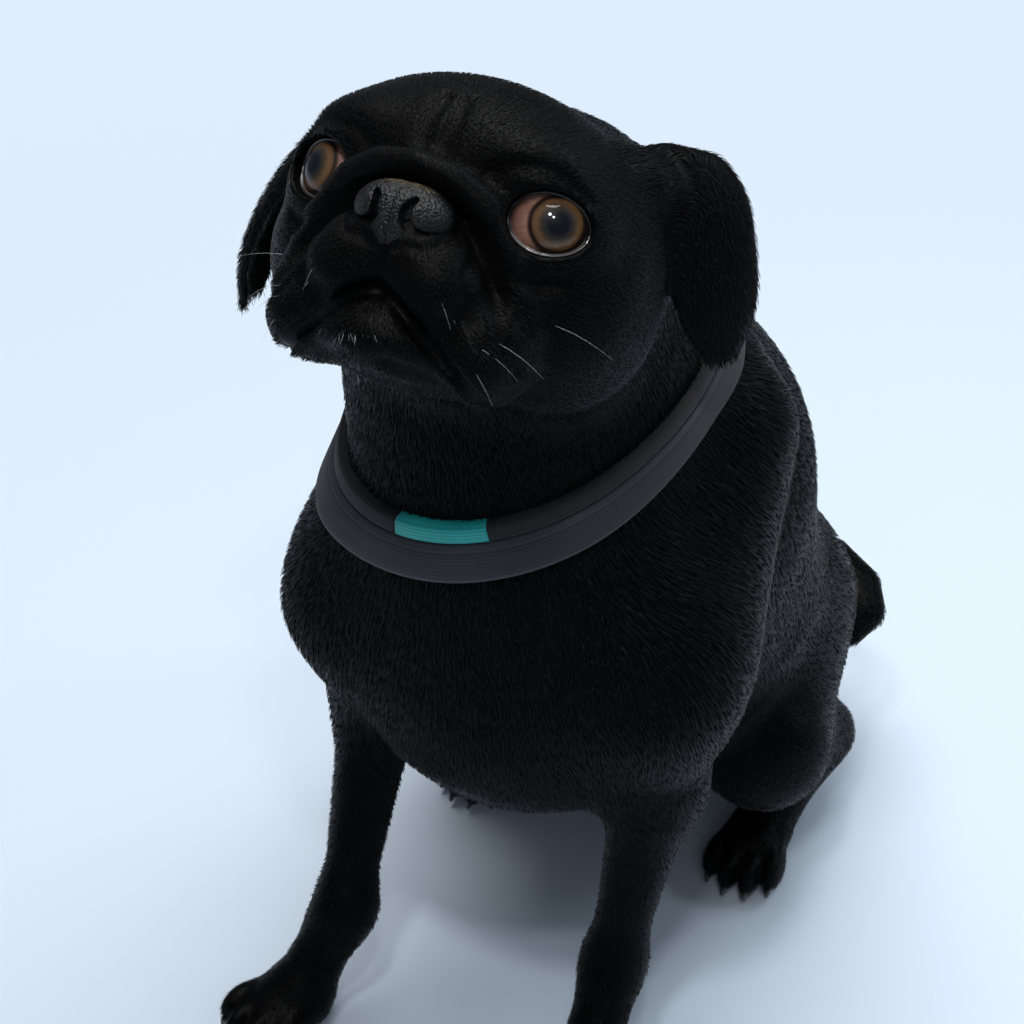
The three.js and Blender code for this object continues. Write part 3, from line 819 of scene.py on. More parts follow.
def webbing_look(name, low, high, width, rough=0.8, edge=0.0):
    """Fine weave over a band of one width, with a woven edge where one is given; its colour is painted darker
    in the weave's grooves and lighter on the raised threads and edge, as painted shade and highlight.
    """
    material, tree, shader = nodes_of(name, {"Sheen Weight": 0.05, "Roughness": rough})
    uv = node(tree, "ShaderNodeUVMap", uv_map="Weave").outputs["UV"]
    along = node(tree, "ShaderNodeTexWave", {"Vector": uv, "Scale": 420.0}, bands_direction="X")
    over = node(tree, "ShaderNodeTexWave", {"Vector": uv, "Scale": 300.0}, bands_direction="Y")
    weave = maths(tree, "MULTIPLY", along.outputs["Fac"], over.outputs["Fac"])
    across = node(tree, "ShaderNodeSeparateXYZ", {"Vector": uv}).outputs["Y"]
    away = maths(tree, "ABSOLUTE", maths(tree, "ADD", across, -width * MM / 2))
    border = spread(tree, away, (width * MM * 0.36, width * MM * 0.4), (0.0, edge))
    height = maths(tree, "ADD", weave, border)
    bump = node(tree, "ShaderNodeBump", {"Height": height, "Strength": 0.35, "Distance": 0.0003})
    tree.links.new(bump.outputs["Normal"], shader.inputs["Normal"])
    # Painted shade and highlight: the colour goes from low in the weave's grooves to high on its raised
    # threads and edge
    lit = maths(tree, "ADD", height, 0.0, use_clamp=True)
    tree.links.new(blend(tree, lit, low, high), shader.inputs["Base Color"])
    return material


def wet_look(name, colour):
    """A wet or horny surface under a clear coat."""
    material, tree, shader = nodes_of(name, {"Coat Weight": 1.0, "Coat Roughness": 0.08, "Roughness": 0.3})
    darker = tuple(0.55 * v for v in colour[:3]) + (1,)
    tone = blend(tree, noise(tree, here(tree), 900.0, 2.0), darker, colour)
    tree.links.new(tone, shader.inputs["Base Color"])
    bump = placed(tree, FINE_GRAIN, {"Scale": 1400.0, "Strength": 0.3, "Depth": 0.0002})
    tree.links.new(bump["Normal"], shader.inputs["Normal"])
    return material


# Skin
def make_skin():
    """The whole dog in one surface, on a grid that is finest over the face and ears."""
    xs = spaced((-118, 1.5), (-52, 1.35), (42, 1.45), (92, 1.5))
    ys = spaced((-136, 1.35), (-60, 1.7), (10, 4.2), (125, 2.4), (190, 2.4))
    zs = spaced((-4, 2.2), (34, 2.8), (110, 4.2), (245, 1.7), (300, 1.35), (382, 1.35))
    points, faces = surface_of(skin_field, xs, ys, zs)
    return settle(skin_field, points), faces


skin_points, skin_faces = make_skin()
PAIRED_NODES = ["ear", "foreleg", "forepaw", "thigh", "hind_foot"]
FLESH_NODES = ["head", "neck", "torso", "tail_base", "tail_tip"]
FLESH_NODES += [name + side for name in PAIRED_NODES for side in ("_left", "_right")]
mesh_piece("skin", skin_points, skin_faces, SKIN_LOOK, "fur", replace=FLESH_NODES)


# Nose
nose_pad = melt(
    5,
    egg((0, -54.5, -1.8), (11, 8.6, 8.4)),
    both(egg((6.2, -52.6, -2), (9.6, 8.8, 7.6))),
    egg((0, -54.8, -9.5), (5.4, 7.2, 6.5)),
)
NOSTRIL = [(6.4, 1.6), (5.0, -1.2), (5.2, -4.8), (8.2, -7.6), (14.4, -7.0)]  # x and z, from the top outwards
NOSE_GRID = 0.55


def make_nose():
    """The leather, with a nostril cut in three depths on each side and a groove down the middle."""
    hole = []
    for sink, size in ((0.2, 1.0), (1.8, 1.15), (3.4, 1.0)):
        path = on_face(NOSTRIL, nose_pad, sink, 4)
        radii = np.interp(np.linspace(0, 1, len(path)), [0, 0.35, 0.7, 1], [0.9, 1.7, 1.5, 1.0]) * size
        hole.append(rope(path, radii))
    middle_path = on_face([(0, 5), (0, -2), (0, -9), (0, -17)], nose_pad, 0.1, 4)
    groove = rope(middle_path, np.linspace(0.35, 0.6, len(middle_path)))
    shape = carve(0.9, nose_pad, both(melt(0.8, *hole)), groove)

    def in_world(x, y, z):
        return shape(*to_head(x, y, z))

    low, high = from_head((-16, -46, -18)), from_head((16, -70, 12))
    xs = spaced((HEAD_PLACE[0] - 17.5, NOSE_GRID), (HEAD_PLACE[0] + 17.5, NOSE_GRID))
    ys = spaced((low[1] - 28, NOSE_GRID), (low[1] + 14, NOSE_GRID))
    zs = spaced((high[2] - 44, NOSE_GRID), (high[2] + 6, NOSE_GRID))
    points, faces = surface_of(in_world, xs, ys, zs)
    points = settle(in_world, points, 3, 0.4)
    mesh_piece("nose_leather", points, faces, nose_look(), "nose_leather", replace=["nose"])


make_nose()


# Eyes
IRIS_LEAN = math.radians(30)  # how far each pupil looks outwards


def make_eye(side, look):
    """One eyeball, as rings round its gaze with a slight bulge over the iris."""
    rings, around = 46, 64
    gaze = np.array([side * math.sin(IRIS_LEAN), -math.cos(IRIS_LEAN), 0.05])
    gaze /= np.linalg.norm(gaze)
    nosewards = np.cross(gaze, (0, 0, side))
    nosewards /= np.linalg.norm(nosewards)
    up = np.cross(nosewards, gaze) * side
    share = np.linspace(0, 1, rings + 1) ** 1.25
    points, uvs, faces = [], [], []
    for j in range(rings + 1):
        polar = share[j] * math.pi
        bulge = 0.7 * math.exp(-((polar / 0.5) ** 2)) - 0.15
        for i in range(around):
            turn = 2 * math.pi * i / around
            round_gaze = nosewards * math.cos(turn) + up * math.sin(turn)
            out = gaze * math.cos(polar) + round_gaze * math.sin(polar)
            middle = np.array([side * EYE_PLACE[0], EYE_PLACE[1], EYE_PLACE[2]])
            points.append(from_head(middle + out * (EYE_RADIUS + bulge)))
            uvs.append((i / around, share[j]))
    for j in range(rings):
        for i in range(around):
            a, b = j * around + i, j * around + (i + 1) % around
            faces.append((a, b, b + around, a + around)[::side])
    name = "eyeball_" + ("left" if side > 0 else "right")
    piece = mesh_piece(name, points, faces, look, "eye", replace=["eye_left" if side > 0 else "eye_right"])
    # Faces that close the circle run on past 1 and don't fold back to 0
    corner = np.array(uvs)[corner_vertices(piece)].reshape(-1, 4, 2)
    wrap = (corner[..., 0].max(1) - corner[..., 0].min(1) > 0.5)[:, None] & (corner[..., 0] < 0.5)
    corner[..., 0] += wrap
    set_map(piece, "Eye", corner)


EYE_LOOK = eye_look()
for eye_side in (1, -1):
    make_eye(eye_side, EYE_LOOK)


# Collar
RING_MIDDLE = np.array([-5, -10, 238.5])
COLLAR_UP = np.array([-0.198, -0.302, 0.932])
COLLAR_UP /= np.linalg.norm(COLLAR_UP)
COLLAR_FRONT = np.array([0, -1, 0]) + COLLAR_UP * COLLAR_UP[1]
COLLAR_FRONT /= np.linalg.norm(COLLAR_FRONT)
COLLAR_SIDE = np.cross(COLLAR_FRONT, COLLAR_UP)
TEAL_FROM, TEAL_TO = -0.22, 0.3  # angles round the neck from straight ahead, towards the dog's right
STRAP_LIFT = 9.2
BAND_PRESSED = 0.4  # how far a band sits in the flesh
BAND_SUNK = 5.0  # how far its hidden face lies below that
NECK_GIRTH = 430


def neck_reach(turns, lift):
    """Points on the neck's outline round the collar, at a height above its middle line."""
    centre = RING_MIDDLE + COLLAR_UP * lift
    out = COLLAR_FRONT * np.cos(turns)[:, None] + COLLAR_SIDE * np.sin(turns)[:, None]
    reach = np.full(len(turns), 130.0)
    for _ in range(80):
        reach = reach - 0.6 * limbs(*(centre + out * reach[:, None]).T)
    return centre + out * reach[:, None], out


def make_band(name, node_name, look, lift, width, thickness, start, end, count):
    """A band round the neck between two angles, which replaces one node."""
    closed = end - start > 6.28
    turns = start + (end - start) * np.arange(count if closed else count + 1) / count
    low, out = neck_reach(turns, lift - width / 2)
    high, _ = neck_reach(turns, lift + width / 2)
    across = np.linspace(0, 1, 7)
    profile = [(v, thickness * (1 - 0.45 * abs(2 * v - 1) ** 6)) for v in across]
    profile += [(v, 0.0) for v in across[::-1]]
    rings = []
    for v, rise in profile:
        rings.append(low + (high - low) * v + out * (rise - BAND_PRESSED - BAND_SUNK * (rise == 0)))
    ring = np.stack(rings, 1)
    n, m = len(turns), len(profile)
    points = ring.reshape(-1, 3)
    faces = []
    for i in range(n if closed else n - 1):
        for j in range(m):
            a, b = i * m + j, i * m + (j + 1) % m
            faces.append((a, b, (b + m) % (n * m), (a + m) % (n * m)))
    if not closed:
        for end_ring in (0, (n - 1) * m):
            for j in range(len(across) - 1):
                quad = [end_ring + j, end_ring + j + 1, end_ring + m - 2 - j, end_ring + m - 1 - j]
                faces.append(quad if end_ring else quad[::-1])
    piece = mesh_piece(name, points, faces, look, node_name, replace=[node_name])
    loops = corner_vertices(piece)
    u = (loops // m) / n * (NECK_GIRTH * MM * (end - start) / (2 * math.pi))
    v = np.array([p[0] for p in profile])[loops % m] * width * MM
    set_map(piece, "Weave", np.stack([u, v], 1))


def make_collar():
    full_turn = 2 * math.pi
    # Each webbing is given two copies of its colour: the painted shade of its grooves and the painted
    # highlight of its raised threads
    grey = webbing_look(
        "grey webbing", (0.008, 0.0085, 0.011, 1), (0.032, 0.035, 0.043, 1), COLLAR_WIDTH, edge=0.6
    )
    make_band("collar_webbing", "collar_band", grey, 0, COLLAR_WIDTH, 2.6, 0, full_turn, 240)
    black = webbing_look("black webbing", (0.0008, 0.0008, 0.001, 1), (0.003, 0.003, 0.0035, 1), STRAP_WIDTH)
    make_band(
        "collar_strap_webbing", "collar_strap", black,
        STRAP_LIFT, STRAP_WIDTH, 1.6, TEAL_TO, TEAL_FROM + full_turn, 200,
    )
    teal = webbing_look("teal webbing", (0.0, 0.22, 0.21, 1), (0.01, 0.5, 0.46, 1), STRAP_WIDTH, 0.5)
    make_band(
        "collar_teal_sleeve", "collar_clip", teal, STRAP_LIFT, STRAP_WIDTH, 1.9, TEAL_FROM, TEAL_TO, 36
    )


make_collar()


# Coat: closed spikes that lie along the body, rooted in the skin
RNG = np.random.default_rng(11)
TUFT_SUNK = 0.4
PATCH = 0.0015  # half the width of one tuft's patch on its map
MOST_TUFTS = 19500  # to a piece
BODY_HAIR, LEG_HAIR, EAR_HAIR, TAIL_HAIR, FOOT_HAIR = 6.8, 3.4, 3.6, 3.4, 2.4
NOSE_HAIR = 1.1  # beside the nose; longer by the next two towards the cheeks and the nape
CHEEK_MORE, NAPE_MORE = 1.5, 3.6
BODY_DENSITY = 0.42  # tufts to the square millimetre where the hair is as long as on the body


def unit(v):
    """Directions of length 1."""
    return v / np.maximum(np.linalg.norm(v, axis=-1, keepdims=True), 1e-9)


def scatter(points, faces, density):
    """Random spots on the faces, density(centres) of them to the square millimetre."""
    a, b, c, d = [points[faces[:, n]] for n in range(4)]
    area = 0.5 * np.linalg.norm(np.cross(c - a, d - b), axis=1)
    wanted = area * density((a + b + c + d) / 4)
    count = (wanted + RNG.random(len(wanted))).astype(int)
    pick = np.repeat(np.arange(len(faces)), count)
    u, v = RNG.random((2, len(pick), 1))
    return (a[pick] * (1 - u) + b[pick] * u) * (1 - v) + (d[pick] * (1 - u) + c[pick] * u) * v


def ear_value(x, y, z):
    """The nearer ear's field."""
    return np.minimum(ears[0](x, y, z), ears[1](x, y, z))


def coat_regions(p):
    """How far each spot belongs to the head, an ear, the tail and a paw, from 0 to 1."""
    x, y, z = p.T
    on_head = ramp(limbs(x, y, z) - head_boxed(x, y, z), -8, 14)
    rest = np.minimum(limbs(x, y, z), head_boxed(x, y, z))
    on_ear = ramp(rest - ear_value(x, y, z), 0, 4)
    on_tail = ramp(rest - tail(x, y, z), 0, 8) * (y > 100)
    on_foot = ramp(z, 46, 22)
    return on_head, on_ear, on_tail, on_foot


def tail_way(p):
    """Along the tail, from its root to its tip."""
    path = np.array(TAIL, float)
    middles = (path[1:] + path[:-1]) / 2
    near = np.argmin(((p[:, None] - middles) ** 2).sum(2), axis=1)
    return unit(np.diff(path, axis=0))[near]


def lie_of(p, normal):
    """Which way the coat lies: back from the nose, down the body and limbs, out along ears, feet and tail."""
    on_head, on_ear, on_tail, on_foot = [share[:, None] for share in coat_regions(p)]
    x, y, z = p.T
    hx, hy, hz = to_head(x, y, z)
    ax, ay, az = hx, hy + 62, hz + 2
    from_nose = unit(np.stack([ax, ay * PITCH_COS + az * PITCH_SIN, az * PITCH_COS - ay * PITCH_SIN], 1))
    way = np.tile(unit(np.array([0, 0.5, -0.85])), (len(p), 1))
    way = way + (from_nose - way) * on_head
    down_ear = unit(np.stack([np.sign(x) * 0.3, -0.25 + 0 * x, -1 + 0 * x], 1))
    way = way + (down_ear - way) * on_ear
    way = way + (tail_way(p) - way) * on_tail
    way = way + (np.array([0, -1, -0.3]) - way) * on_foot
    way = way - (way * normal).sum(1, keepdims=True) * normal
    side = np.cross(normal, unit(way))
    swirl = np.sin(x * 0.11 + z * 0.07) * np.sin(y * 0.09 - z * 0.13 + 1) * 0.16 + RNG.normal(0, 0.09, len(p))
    return unit(unit(way) + side * swirl[:, None])


def coat_length(p):
    """Hair length: longest on the body, shorter on legs, ears, tail and feet, and shortest by the nose."""
    on_head, on_ear, on_tail, on_foot = coat_regions(p)
    x, y, z = p.T
    hx, hy, hz = to_head(x, y, z)
    length = BODY_HAIR + (LEG_HAIR - BODY_HAIR) * ramp(z, 150, 70)
    from_nose = np.sqrt(hx**2 + (hy + 60) ** 2 + hz**2)
    head_hair = NOSE_HAIR + CHEEK_MORE * ramp(from_nose, 12, 45) + NAPE_MORE * ramp(hy, -40, 45)
    length = length + (head_hair - length) * on_head
    length = length + (EAR_HAIR - length) * on_ear
    length = length + (TAIL_HAIR - length) * on_tail
    return length + (FOOT_HAIR - length) * on_foot


def bare_spots(p):
    """Spots with no coat: eyes, nose leather, under the collar and soles."""
    x, y, z = p.T
    hx, hy, hz = to_head(x, y, z)
    along, forward, up, far = eye_axes(np.abs(hx), hy, hz)
    oval = np.sqrt((along / (LID_HALF_WIDTH + 2.0)) ** 2 + (up / (LID_HALF_HEIGHT + 2.0)) ** 2)
    by_eye = (far < EYE_RADIUS + 1.2) | ((oval < 1) & (forward > 0) & (far < EYE_RADIUS + 7))
    by_nose = nose_pad(hx, hy, hz) < 1.4
    high = (p - RING_MIDDLE) @ COLLAR_UP
    under_collar = (high > -4.5) & (high < 13.5) & (z > 195) & (y < 90) & (head_boxed(x, y, z) > 2)
    in_mouth = ((mouth_line(hx, hy, hz) < 1.0) & (np.abs(hx) < 33)) | (philtrum(hx, hy, hz) < 0.7)
    return by_eye | by_nose | under_collar | in_mouth | (z < 1.4)


def spike_faces(count):
    """Ten triangles to a tuft of seven points."""
    one_spike = np.array(
        [(0, 1, 2), (0, 4, 1), (0, 3, 4), (1, 5, 2), (1, 4, 5)]
        + [(2, 3, 0), (2, 5, 3), (3, 6, 4), (4, 6, 5), (5, 6, 3)]
    )
    return (one_spike[None] + 7 * np.arange(count)[:, None, None]).reshape(-1, 3)


def spikes(root, way, normal, length, width, rise):
    """Seven points to a tuft: three at the root, three half way and the tip."""
    side = np.cross(way, normal)
    length, width, rise = length[:, None], width[:, None], rise[:, None]
    half_way = root + way * length * 0.5 + normal * (rise * 0.62)
    tip = root + way * length + normal * rise
    base = root - normal * TUFT_SUNK
    ring = []
    for centre, share in ((base, 1.0), (half_way, 0.78)):
        ring += [
            centre + side * width * share / 2,
            centre - side * width * share / 2,
            centre + normal * width * share * 0.4,
        ]
    return np.stack(ring + [tip], 1)


def patch_map(spots):
    """A small patch to each tuft, at its root's place on the map."""
    turn = np.array([0, 2.09, 4.19, 0, 2.09, 4.19, 0])
    size = np.array([1, 1, 1, 0.6, 0.6, 0.6, 0]) * PATCH
    return spots[:, None] + np.stack([np.cos(turn) * size, np.sin(turn) * size], 1)[None]


# Unwraps for the coat's maps: each goes round one part of the body, and up or back along it
def head_map(p):
    hx, hy, hz = to_head(*p.T)
    return np.stack([0.5 + 0.47 * np.arctan2(hx, hz + 14) / math.pi, (hy + 75) / 190], 1)


def body_map(p):
    x, y, z = p.T
    return np.stack([0.5 + 0.47 * np.arctan2(x, 30 - y) / math.pi, 0.02 + z / 400], 1)


def limb_map(p):
    x, y, z = p.T
    leg = (x > 0) * 1 + (y > 25) * 2
    middle_x = np.where(y > 25, 60, 54) * np.sign(x)
    middle_y = np.where(y > 25, 85, -60)
    around = np.arctan2(x - middle_x, middle_y - y) / math.pi
    return np.stack([(leg + 0.5 + 0.46 * around) / 4, 0.02 + z / 180], 1)


def ear_map(p):
    x, y, z = p.T
    centre = np.where(x > 0, 66, -88)
    around = np.arctan2(x - centre, -20 - y) / math.pi
    return np.stack([(np.where(x > 0, 1.5, 0.5) + 0.46 * around) / 2, (z - 240) / 130], 1)


def coat_piece(name, root, to_map):
    """One closed tuft for each root, lying back and rising a little at its tip."""
    _, grad = gradient(skin_field, root, 0.4)
    normal = unit(grad)
    way = lie_of(root, normal)
    length = coat_length(root) * RNG.uniform(0.75, 1.2, len(root))
    width = 0.13 + 0.075 * length
    rise = 0.2 + length * RNG.uniform(0.03, 0.13, len(root))
    points = spikes(root, way, normal, length, width, rise)
    uv = patch_map(np.clip(to_map(root), 0.004, 0.996))
    piece = mesh_piece(name, points.reshape(-1, 3), spike_faces(len(root)), COAT_LOOK, "fur")
    set_map(piece, "OFBake", uv.reshape(-1, 2)[corner_vertices(piece)])


def coat_density(p):
    """More tufts to the square millimetre where they are shorter."""
    return BODY_DENSITY * (BODY_HAIR / coat_length(p)) ** 1.3


def make_coat():
    """Tufts over the whole skin, in pieces by part of the body and by side."""
    roots = scatter(skin_points, skin_faces, coat_density)
    roots = roots[~bare_spots(roots)]
    on_head, on_ear, on_tail, _ = coat_regions(roots)
    x, y, z = roots.T
    ear = on_ear > 0.5
    face = ~ear & (on_head > 0.5)
    _, hy, _ = to_head(x, y, z)
    limb = ~ear & ~face & (z < 118) & ((y < 12) | (np.abs(x) > 46) | (z < 34)) & (on_tail < 0.5)
    trunk = ~ear & ~face & ~limb
    groups = [("coat_ears", ear, ear_map)]
    for side, on_side in (("left", x > HEAD_PLACE[0]), ("right", x <= HEAD_PLACE[0])):
        groups.append(("coat_face_" + side, face & on_side & (hy < -12), head_map))
        groups.append(("coat_crown_" + side, face & on_side & (hy >= -12), head_map))
        bands = {"neck": z > 215, "chest": (z <= 215) & (y < 40), "back": (z <= 215) & (y >= 40)}
        for part, band in bands.items():
            groups.append(("coat_%s_%s" % (part, side), trunk & on_side & band, body_map))
        groups.append(("coat_legs_" + side, limb & on_side, limb_map))
    for name, chosen, to_map in groups:
        spots = roots[chosen]
        if len(spots) > MOST_TUFTS:
            spots = spots[RNG.permutation(len(spots))[:MOST_TUFTS]]
        coat_piece(name, spots, to_map)


make_coat()


# Fine parts: lid rims, whiskers, chin hairs and claws
def tube(path, radii, sides=6):
    """A closed tube with pointed ends, as points and triangles."""
    path, radii = np.asarray(path, float), np.asarray(radii, float)
    along = unit(np.gradient(path, axis=0))
    side = unit(np.cross(along, (0.31, 0.87, 0.38)))
    over = np.cross(along, side)
    turn = 2 * math.pi * np.arange(sides) / sides
    ring = path[:, None] + radii[:, None, None] * (
        side[:, None] * np.cos(turn)[None, :, None] + over[:, None] * np.sin(turn)[None, :, None]
    )
    count = len(path)
    tips = [path[:1] - along[:1] * radii[0], path[-1:] + along[-1:] * radii[-1]]
    points = np.vstack([ring.reshape(-1, 3), *tips])
    faces = []
    for i in range(count - 1):
        for j in range(sides):
            a, b = i * sides + j, i * sides + (j + 1) % sides
            faces += [(a, b, b + sides), (a, b + sides, a + sides)]
    start, end = count * sides, count * sides + 1
    for j in range(sides):
        k = (j + 1) % sides
        faces += [(start, k, j), (end, (count - 1) * sides + j, (count - 1) * sides + k)]
    return points, np.array(faces)


def joined(parts):
    """Several closed meshes as one table of points and one of faces."""
    points, faces, base = [], [], 0
    for some_points, some_faces in parts:
        points.append(some_points)
        faces.append(some_faces + base)
        base += len(some_points)
    return np.vstack(points), np.vstack(faces)


def lid_point(side, turn, size, lift):
    """A point of the lid's oval, at a share of its size and a height over the eyeball."""
    u, v = size * LID_HALF_WIDTH * math.cos(turn), size * LID_HALF_HEIGHT * math.sin(turn)
    deep = math.sqrt((EYE_RADIUS + lift) ** 2 - u * u - v * v)
    x = side * (EYE_PLACE[0] + u * EYE_COS + deep * EYE_SIN)
    return from_head((x, EYE_PLACE[1] - deep * EYE_COS + u * EYE_SIN, EYE_PLACE[2] + v))


def make_lids():
    """A dark wet rim round each eye, and along its lower lid a thin wet tear line whose pale colour is a
    painted highlight.
    """
    rim_look = wet_look("lid rim", (0.006, 0.005, 0.005, 1))
    # Painted highlight: the tear line's pale colour stands in for the shine of the wet lower lid
    tear_highlight_look = wet_look("tear line painted highlight", (0.12, 0.1, 0.095, 1))
    for side, label in ((1, "left"), (-1, "right")):
        turns = np.linspace(0, 2 * math.pi, 65)
        rim = tube([lid_point(side, t, 0.985, 0.45) for t in turns], [0.62] * 65)
        mesh_piece("lid_rim_" + label, *rim, rim_look, "nose_leather")
        lower = np.linspace(1.05 * math.pi, 1.93 * math.pi, 41)
        radii = 0.22 * np.sin(np.linspace(0.15, 0.9, 41) * math.pi) ** 0.5
        tears = tube([lid_point(side, t, 0.925, 0.1) for t in lower], radii)
        mesh_piece("tear_line_painted_highlight_" + label, *tears, tear_highlight_look, "eye")


def on_head_skin(x, z):
    """A spot of the face's skin and its outward direction, in the drawing's frame."""
    spot = np.array([from_head((x, face_depth(x, z, head_plain) + 1, z))])
    spot = settle(skin_field, spot, 3)
    _, grad = gradient(skin_field, spot, 0.4)
    return spot[0], unit(grad)[0]


def hair(root, out, way, length, radius, droop):
    """One whisker that leaves the skin outwards, turns its way and droops."""
    t = np.linspace(0, 1, 8)[:, None]
    path = root - out * 0.6 + (out * 0.55 + way) * length * t + np.array([0, 0, -droop * length]) * t**2
    path = path + out * (0.25 * length * np.sin(t * math.pi / 2) * 0.4)
    return tube(path, radius * (1 - 0.75 * t[:, 0]), 4)


# Whiskers on each side: x and z on the face, length, and how far they lean outwards
WHISKERS = [
    (21, -24, 7, 0.1), (24, -28, 8, 0.15), (28, -27, 10, 0.3), (32, -30, 12, 0.6), (24, -33, 7, 0.05),
    (29, -35, 11, 0.3), (34, -34, 13, 0.8), (33, -41, 9, 0.4), (38, -31, 14, 0.9), (26, -30, 9, 0.2),
]
CHEEK_WHISKER = (46, -22, 17)
CHIN_HAIRS = 34


def make_whiskers():
    parts = []
    for side in (1, -1):
        for x, z, length, lean in WHISKERS:
            root, out = on_head_skin(side * x, z)
            way = unit(np.array([side * (0.25 + lean), 0.15 + 0.5 * lean, -1.0]))
            out = out * (0.35 + RNG.random() * 0.3)
            parts.append(hair(root, out, way, length * RNG.uniform(0.8, 1.1), 0.085, 0.35))
        x, z, length = CHEEK_WHISKER
        root, out = on_head_skin(side * x, z)
        parts.append(hair(root, out * 0.6, unit(np.array([side * 1.0, 0.3, -0.2])), length, 0.07, 0.3))
    for _ in range(CHIN_HAIRS):
        x, z = RNG.normal(-4.0, 4.5), RNG.uniform(-40.0, -36.8)
        root, out = on_head_skin(x, z)
        way = unit(np.array([0.35 + RNG.normal(0, 0.25), -0.1, -0.8]))
        parts.append(hair(root, out * 1.3, way, RNG.uniform(2.4, 4.2), 0.1, 0.3))
    look, tree, shader = nodes_of("white hairs", {"Roughness": 0.35, "Base Color": (0.42, 0.41, 0.4, 1)})
    grain = placed(tree, FINE_GRAIN, {"Scale": 1500.0, "Strength": 0.2, "Depth": 0.0001})
    tree.links.new(grain["Normal"], shader.inputs["Normal"])
    mesh_piece("whiskers", *joined(parts), look, "fur")


# A claw from its root to its tip: how far it passes the toe's end, and its height
CLAW = [(4.6, 5.6), (3.2, 5.4), (2.2, 4.8), (1.4, 4.0), (1.0, 3.0)]


def make_claws():
    parts = []
    for x0, y0, turn, size in PAWS.values():
        c, s = math.cos(turn), math.sin(turn)
        for across in TOES:
            end = toe_middle(across) - TOE_LENGTH
            x = across * size * 1.02
            path = [(x0 + x * c - (end + y) * s, y0 + (end + y) * c + x * s, z) for y, z in CLAW]
            share = np.linspace(0, 1, 10)
            radii = np.interp(share, [0, 0.5, 1], [1.7, 1.45, 0.7])
            parts.append(tube(smooth_through(path, share), radii, 8))
    mesh_piece("claws", *joined(parts), wet_look("claw horn", (0.005, 0.0045, 0.0045, 1)), "nose_leather")


make_lids()
make_whiskers()
make_claws()


# Floor, light and camera
BACKDROP = (0.74, 0.85, 0.98, 1)
DIM_ROOM = (0.09, 0.105, 0.125, 1)  # what the coat mirrors and is lit by, outside the lamps
FLOOR_HALF_WIDTH = 6.0


def make_floor():
    mesh = bpy.data.meshes.new("floor")
    r = FLOOR_HALF_WIDTH
    mesh.from_pydata([(-r, -r, 0), (r, -r, 0), (r, r, 0), (-r, r, 0)], [], [(0, 1, 2, 3)])
    floor = bpy.data.objects.new("floor", mesh)
    bpy.context.scene.collection.objects.link(floor)
    material, tree, shader = nodes_of("pale floor", {"Base Color": (0.58, 0.67, 0.78, 1), "Roughness": 0.7})
    # Further out the floor runs into the backdrop
    reach = node(tree, "ShaderNodeVectorMath", {0: here(tree)}, operation="LENGTH").outputs["Value"]
    far = spread(tree, reach, (0.22, 0.8), interpolation_type="SMOOTHSTEP")
    share = maths(tree, "MULTIPLY", far, node(tree, "ShaderNodeLightPath").outputs["Is Camera Ray"])
    backdrop = node(tree, "ShaderNodeEmission", {"Color": BACKDROP}).outputs["Emission"]
    both_looks = node(tree, "ShaderNodeMixShader", {"Fac": share, 1: shader.outputs["BSDF"], 2: backdrop})
    tree.links.new(both_looks.outputs["Shader"], tree.nodes["Material Output"].inputs["Surface"])
    mesh.materials.append(material)


def make_backdrop():
    """A pale backdrop to the camera, and a dim room to everything else."""
    world = bpy.data.worlds.new("studio")
    world.use_nodes = True
    tree = world.node_tree
    seen = node(tree, "ShaderNodeLightPath").outputs["Is Camera Ray"]
    tree.links.new(blend(tree, seen, DIM_ROOM, BACKDROP), tree.nodes["Background"].inputs["Color"])
    bpy.context.scene.world = world


def add_light(name, place, aim, size, power, colour=(1, 1, 1), mirrored=True):
    data = bpy.data.lights.new(name, "AREA")
    data.shape, data.size, data.energy, data.color = "DISK", size, power, colour
    light = bpy.data.objects.new(name, data)
    light.location = place
    light.visible_glossy = mirrored
    light.rotation_euler = (Vector(aim) - Vector(place)).to_track_quat("-Z", "Y").to_euler()
    bpy.context.scene.collection.objects.link(light)


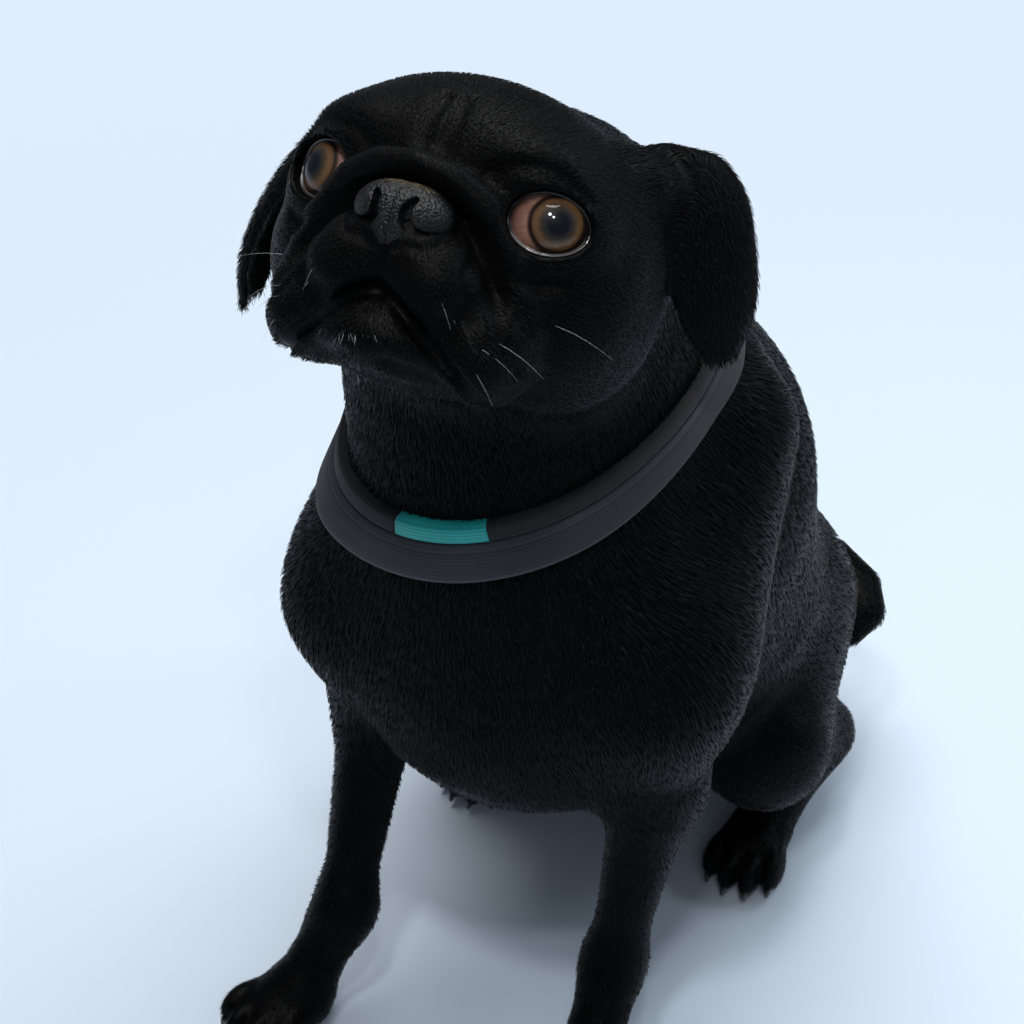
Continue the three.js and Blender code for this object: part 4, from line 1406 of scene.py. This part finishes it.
VIEW_TURN, VIEW_LIFT = math.radians(27), math.radians(35)
FOCAL_PIXELS, FRAME_PIXELS, SENSOR_WIDTH = 2700.0, 1024.0, 36.0
EYES_PIXEL = (432.0, 195.0)  # where the middle between the eyes lands in the picture
EYES_PLACE = np.array([-6, -75, 350.0])
EYES_DISTANCE = 800.0


def make_camera():
    """A camera that puts the middle between the eyes on its place in the picture."""
    ca, sa, ce, se = math.cos(VIEW_TURN), math.sin(VIEW_TURN), math.cos(VIEW_LIFT), math.sin(VIEW_LIFT)
    right = np.array([ca, sa, 0])
    up = np.array([-sa * se, ca * se, ce])
    back = np.array([sa * ce, -ca * ce, se])
    scale = FOCAL_PIXELS / EYES_DISTANCE
    place = EYES_PLACE - right * (EYES_PIXEL[0] - FRAME_PIXELS / 2) / scale
    place = place - up * (FRAME_PIXELS / 2 - EYES_PIXEL[1]) / scale + back * EYES_DISTANCE
    place = (place + PART_SHIFT) * MM
    data = bpy.data.cameras.new("camera")
    data.sensor_width = SENSOR_WIDTH
    data.lens = FOCAL_PIXELS / FRAME_PIXELS * SENSOR_WIDTH
    data.clip_start, data.clip_end = 0.02, 60
    camera = bpy.data.objects.new("camera", data)
    camera.matrix_world = Matrix([[right[i], up[i], back[i], place[i]] for i in range(3)] + [[0, 0, 0, 1]])
    bpy.context.scene.collection.objects.link(camera)
    bpy.context.scene.camera = camera


make_floor()
make_backdrop()
make_camera()
add_light("big soft top", (-0.3, 0.5, 2.2), (0, 0, 0), 1.8, 48, (1, 0.99, 0.98))
add_light("soft front fill", (0.9, -1.6, 1.3), (0, 0, 0.2), 1.4, 5.5, (0.92, 0.96, 1), False)
add_light("rim from behind", (0.7, 1.2, 1.3), (0, 0, 0.2), 0.7, 7, (0.85, 0.93, 1))
add_light("side sheen", (1.35, 0.75, 1.0), (0, 0, 0.25), 0.5, 4.5, (0.9, 0.95, 1))
add_light("catch one", (0.1, -0.62, 1.5), (0, -0.08, 0.33), 0.16, 4.5)
add_light("catch two", (0.36, -0.66, 1.4), (0, -0.08, 0.33), 0.12, 2.5)
bpy.context.scene.view_settings.view_transform = "Standard"
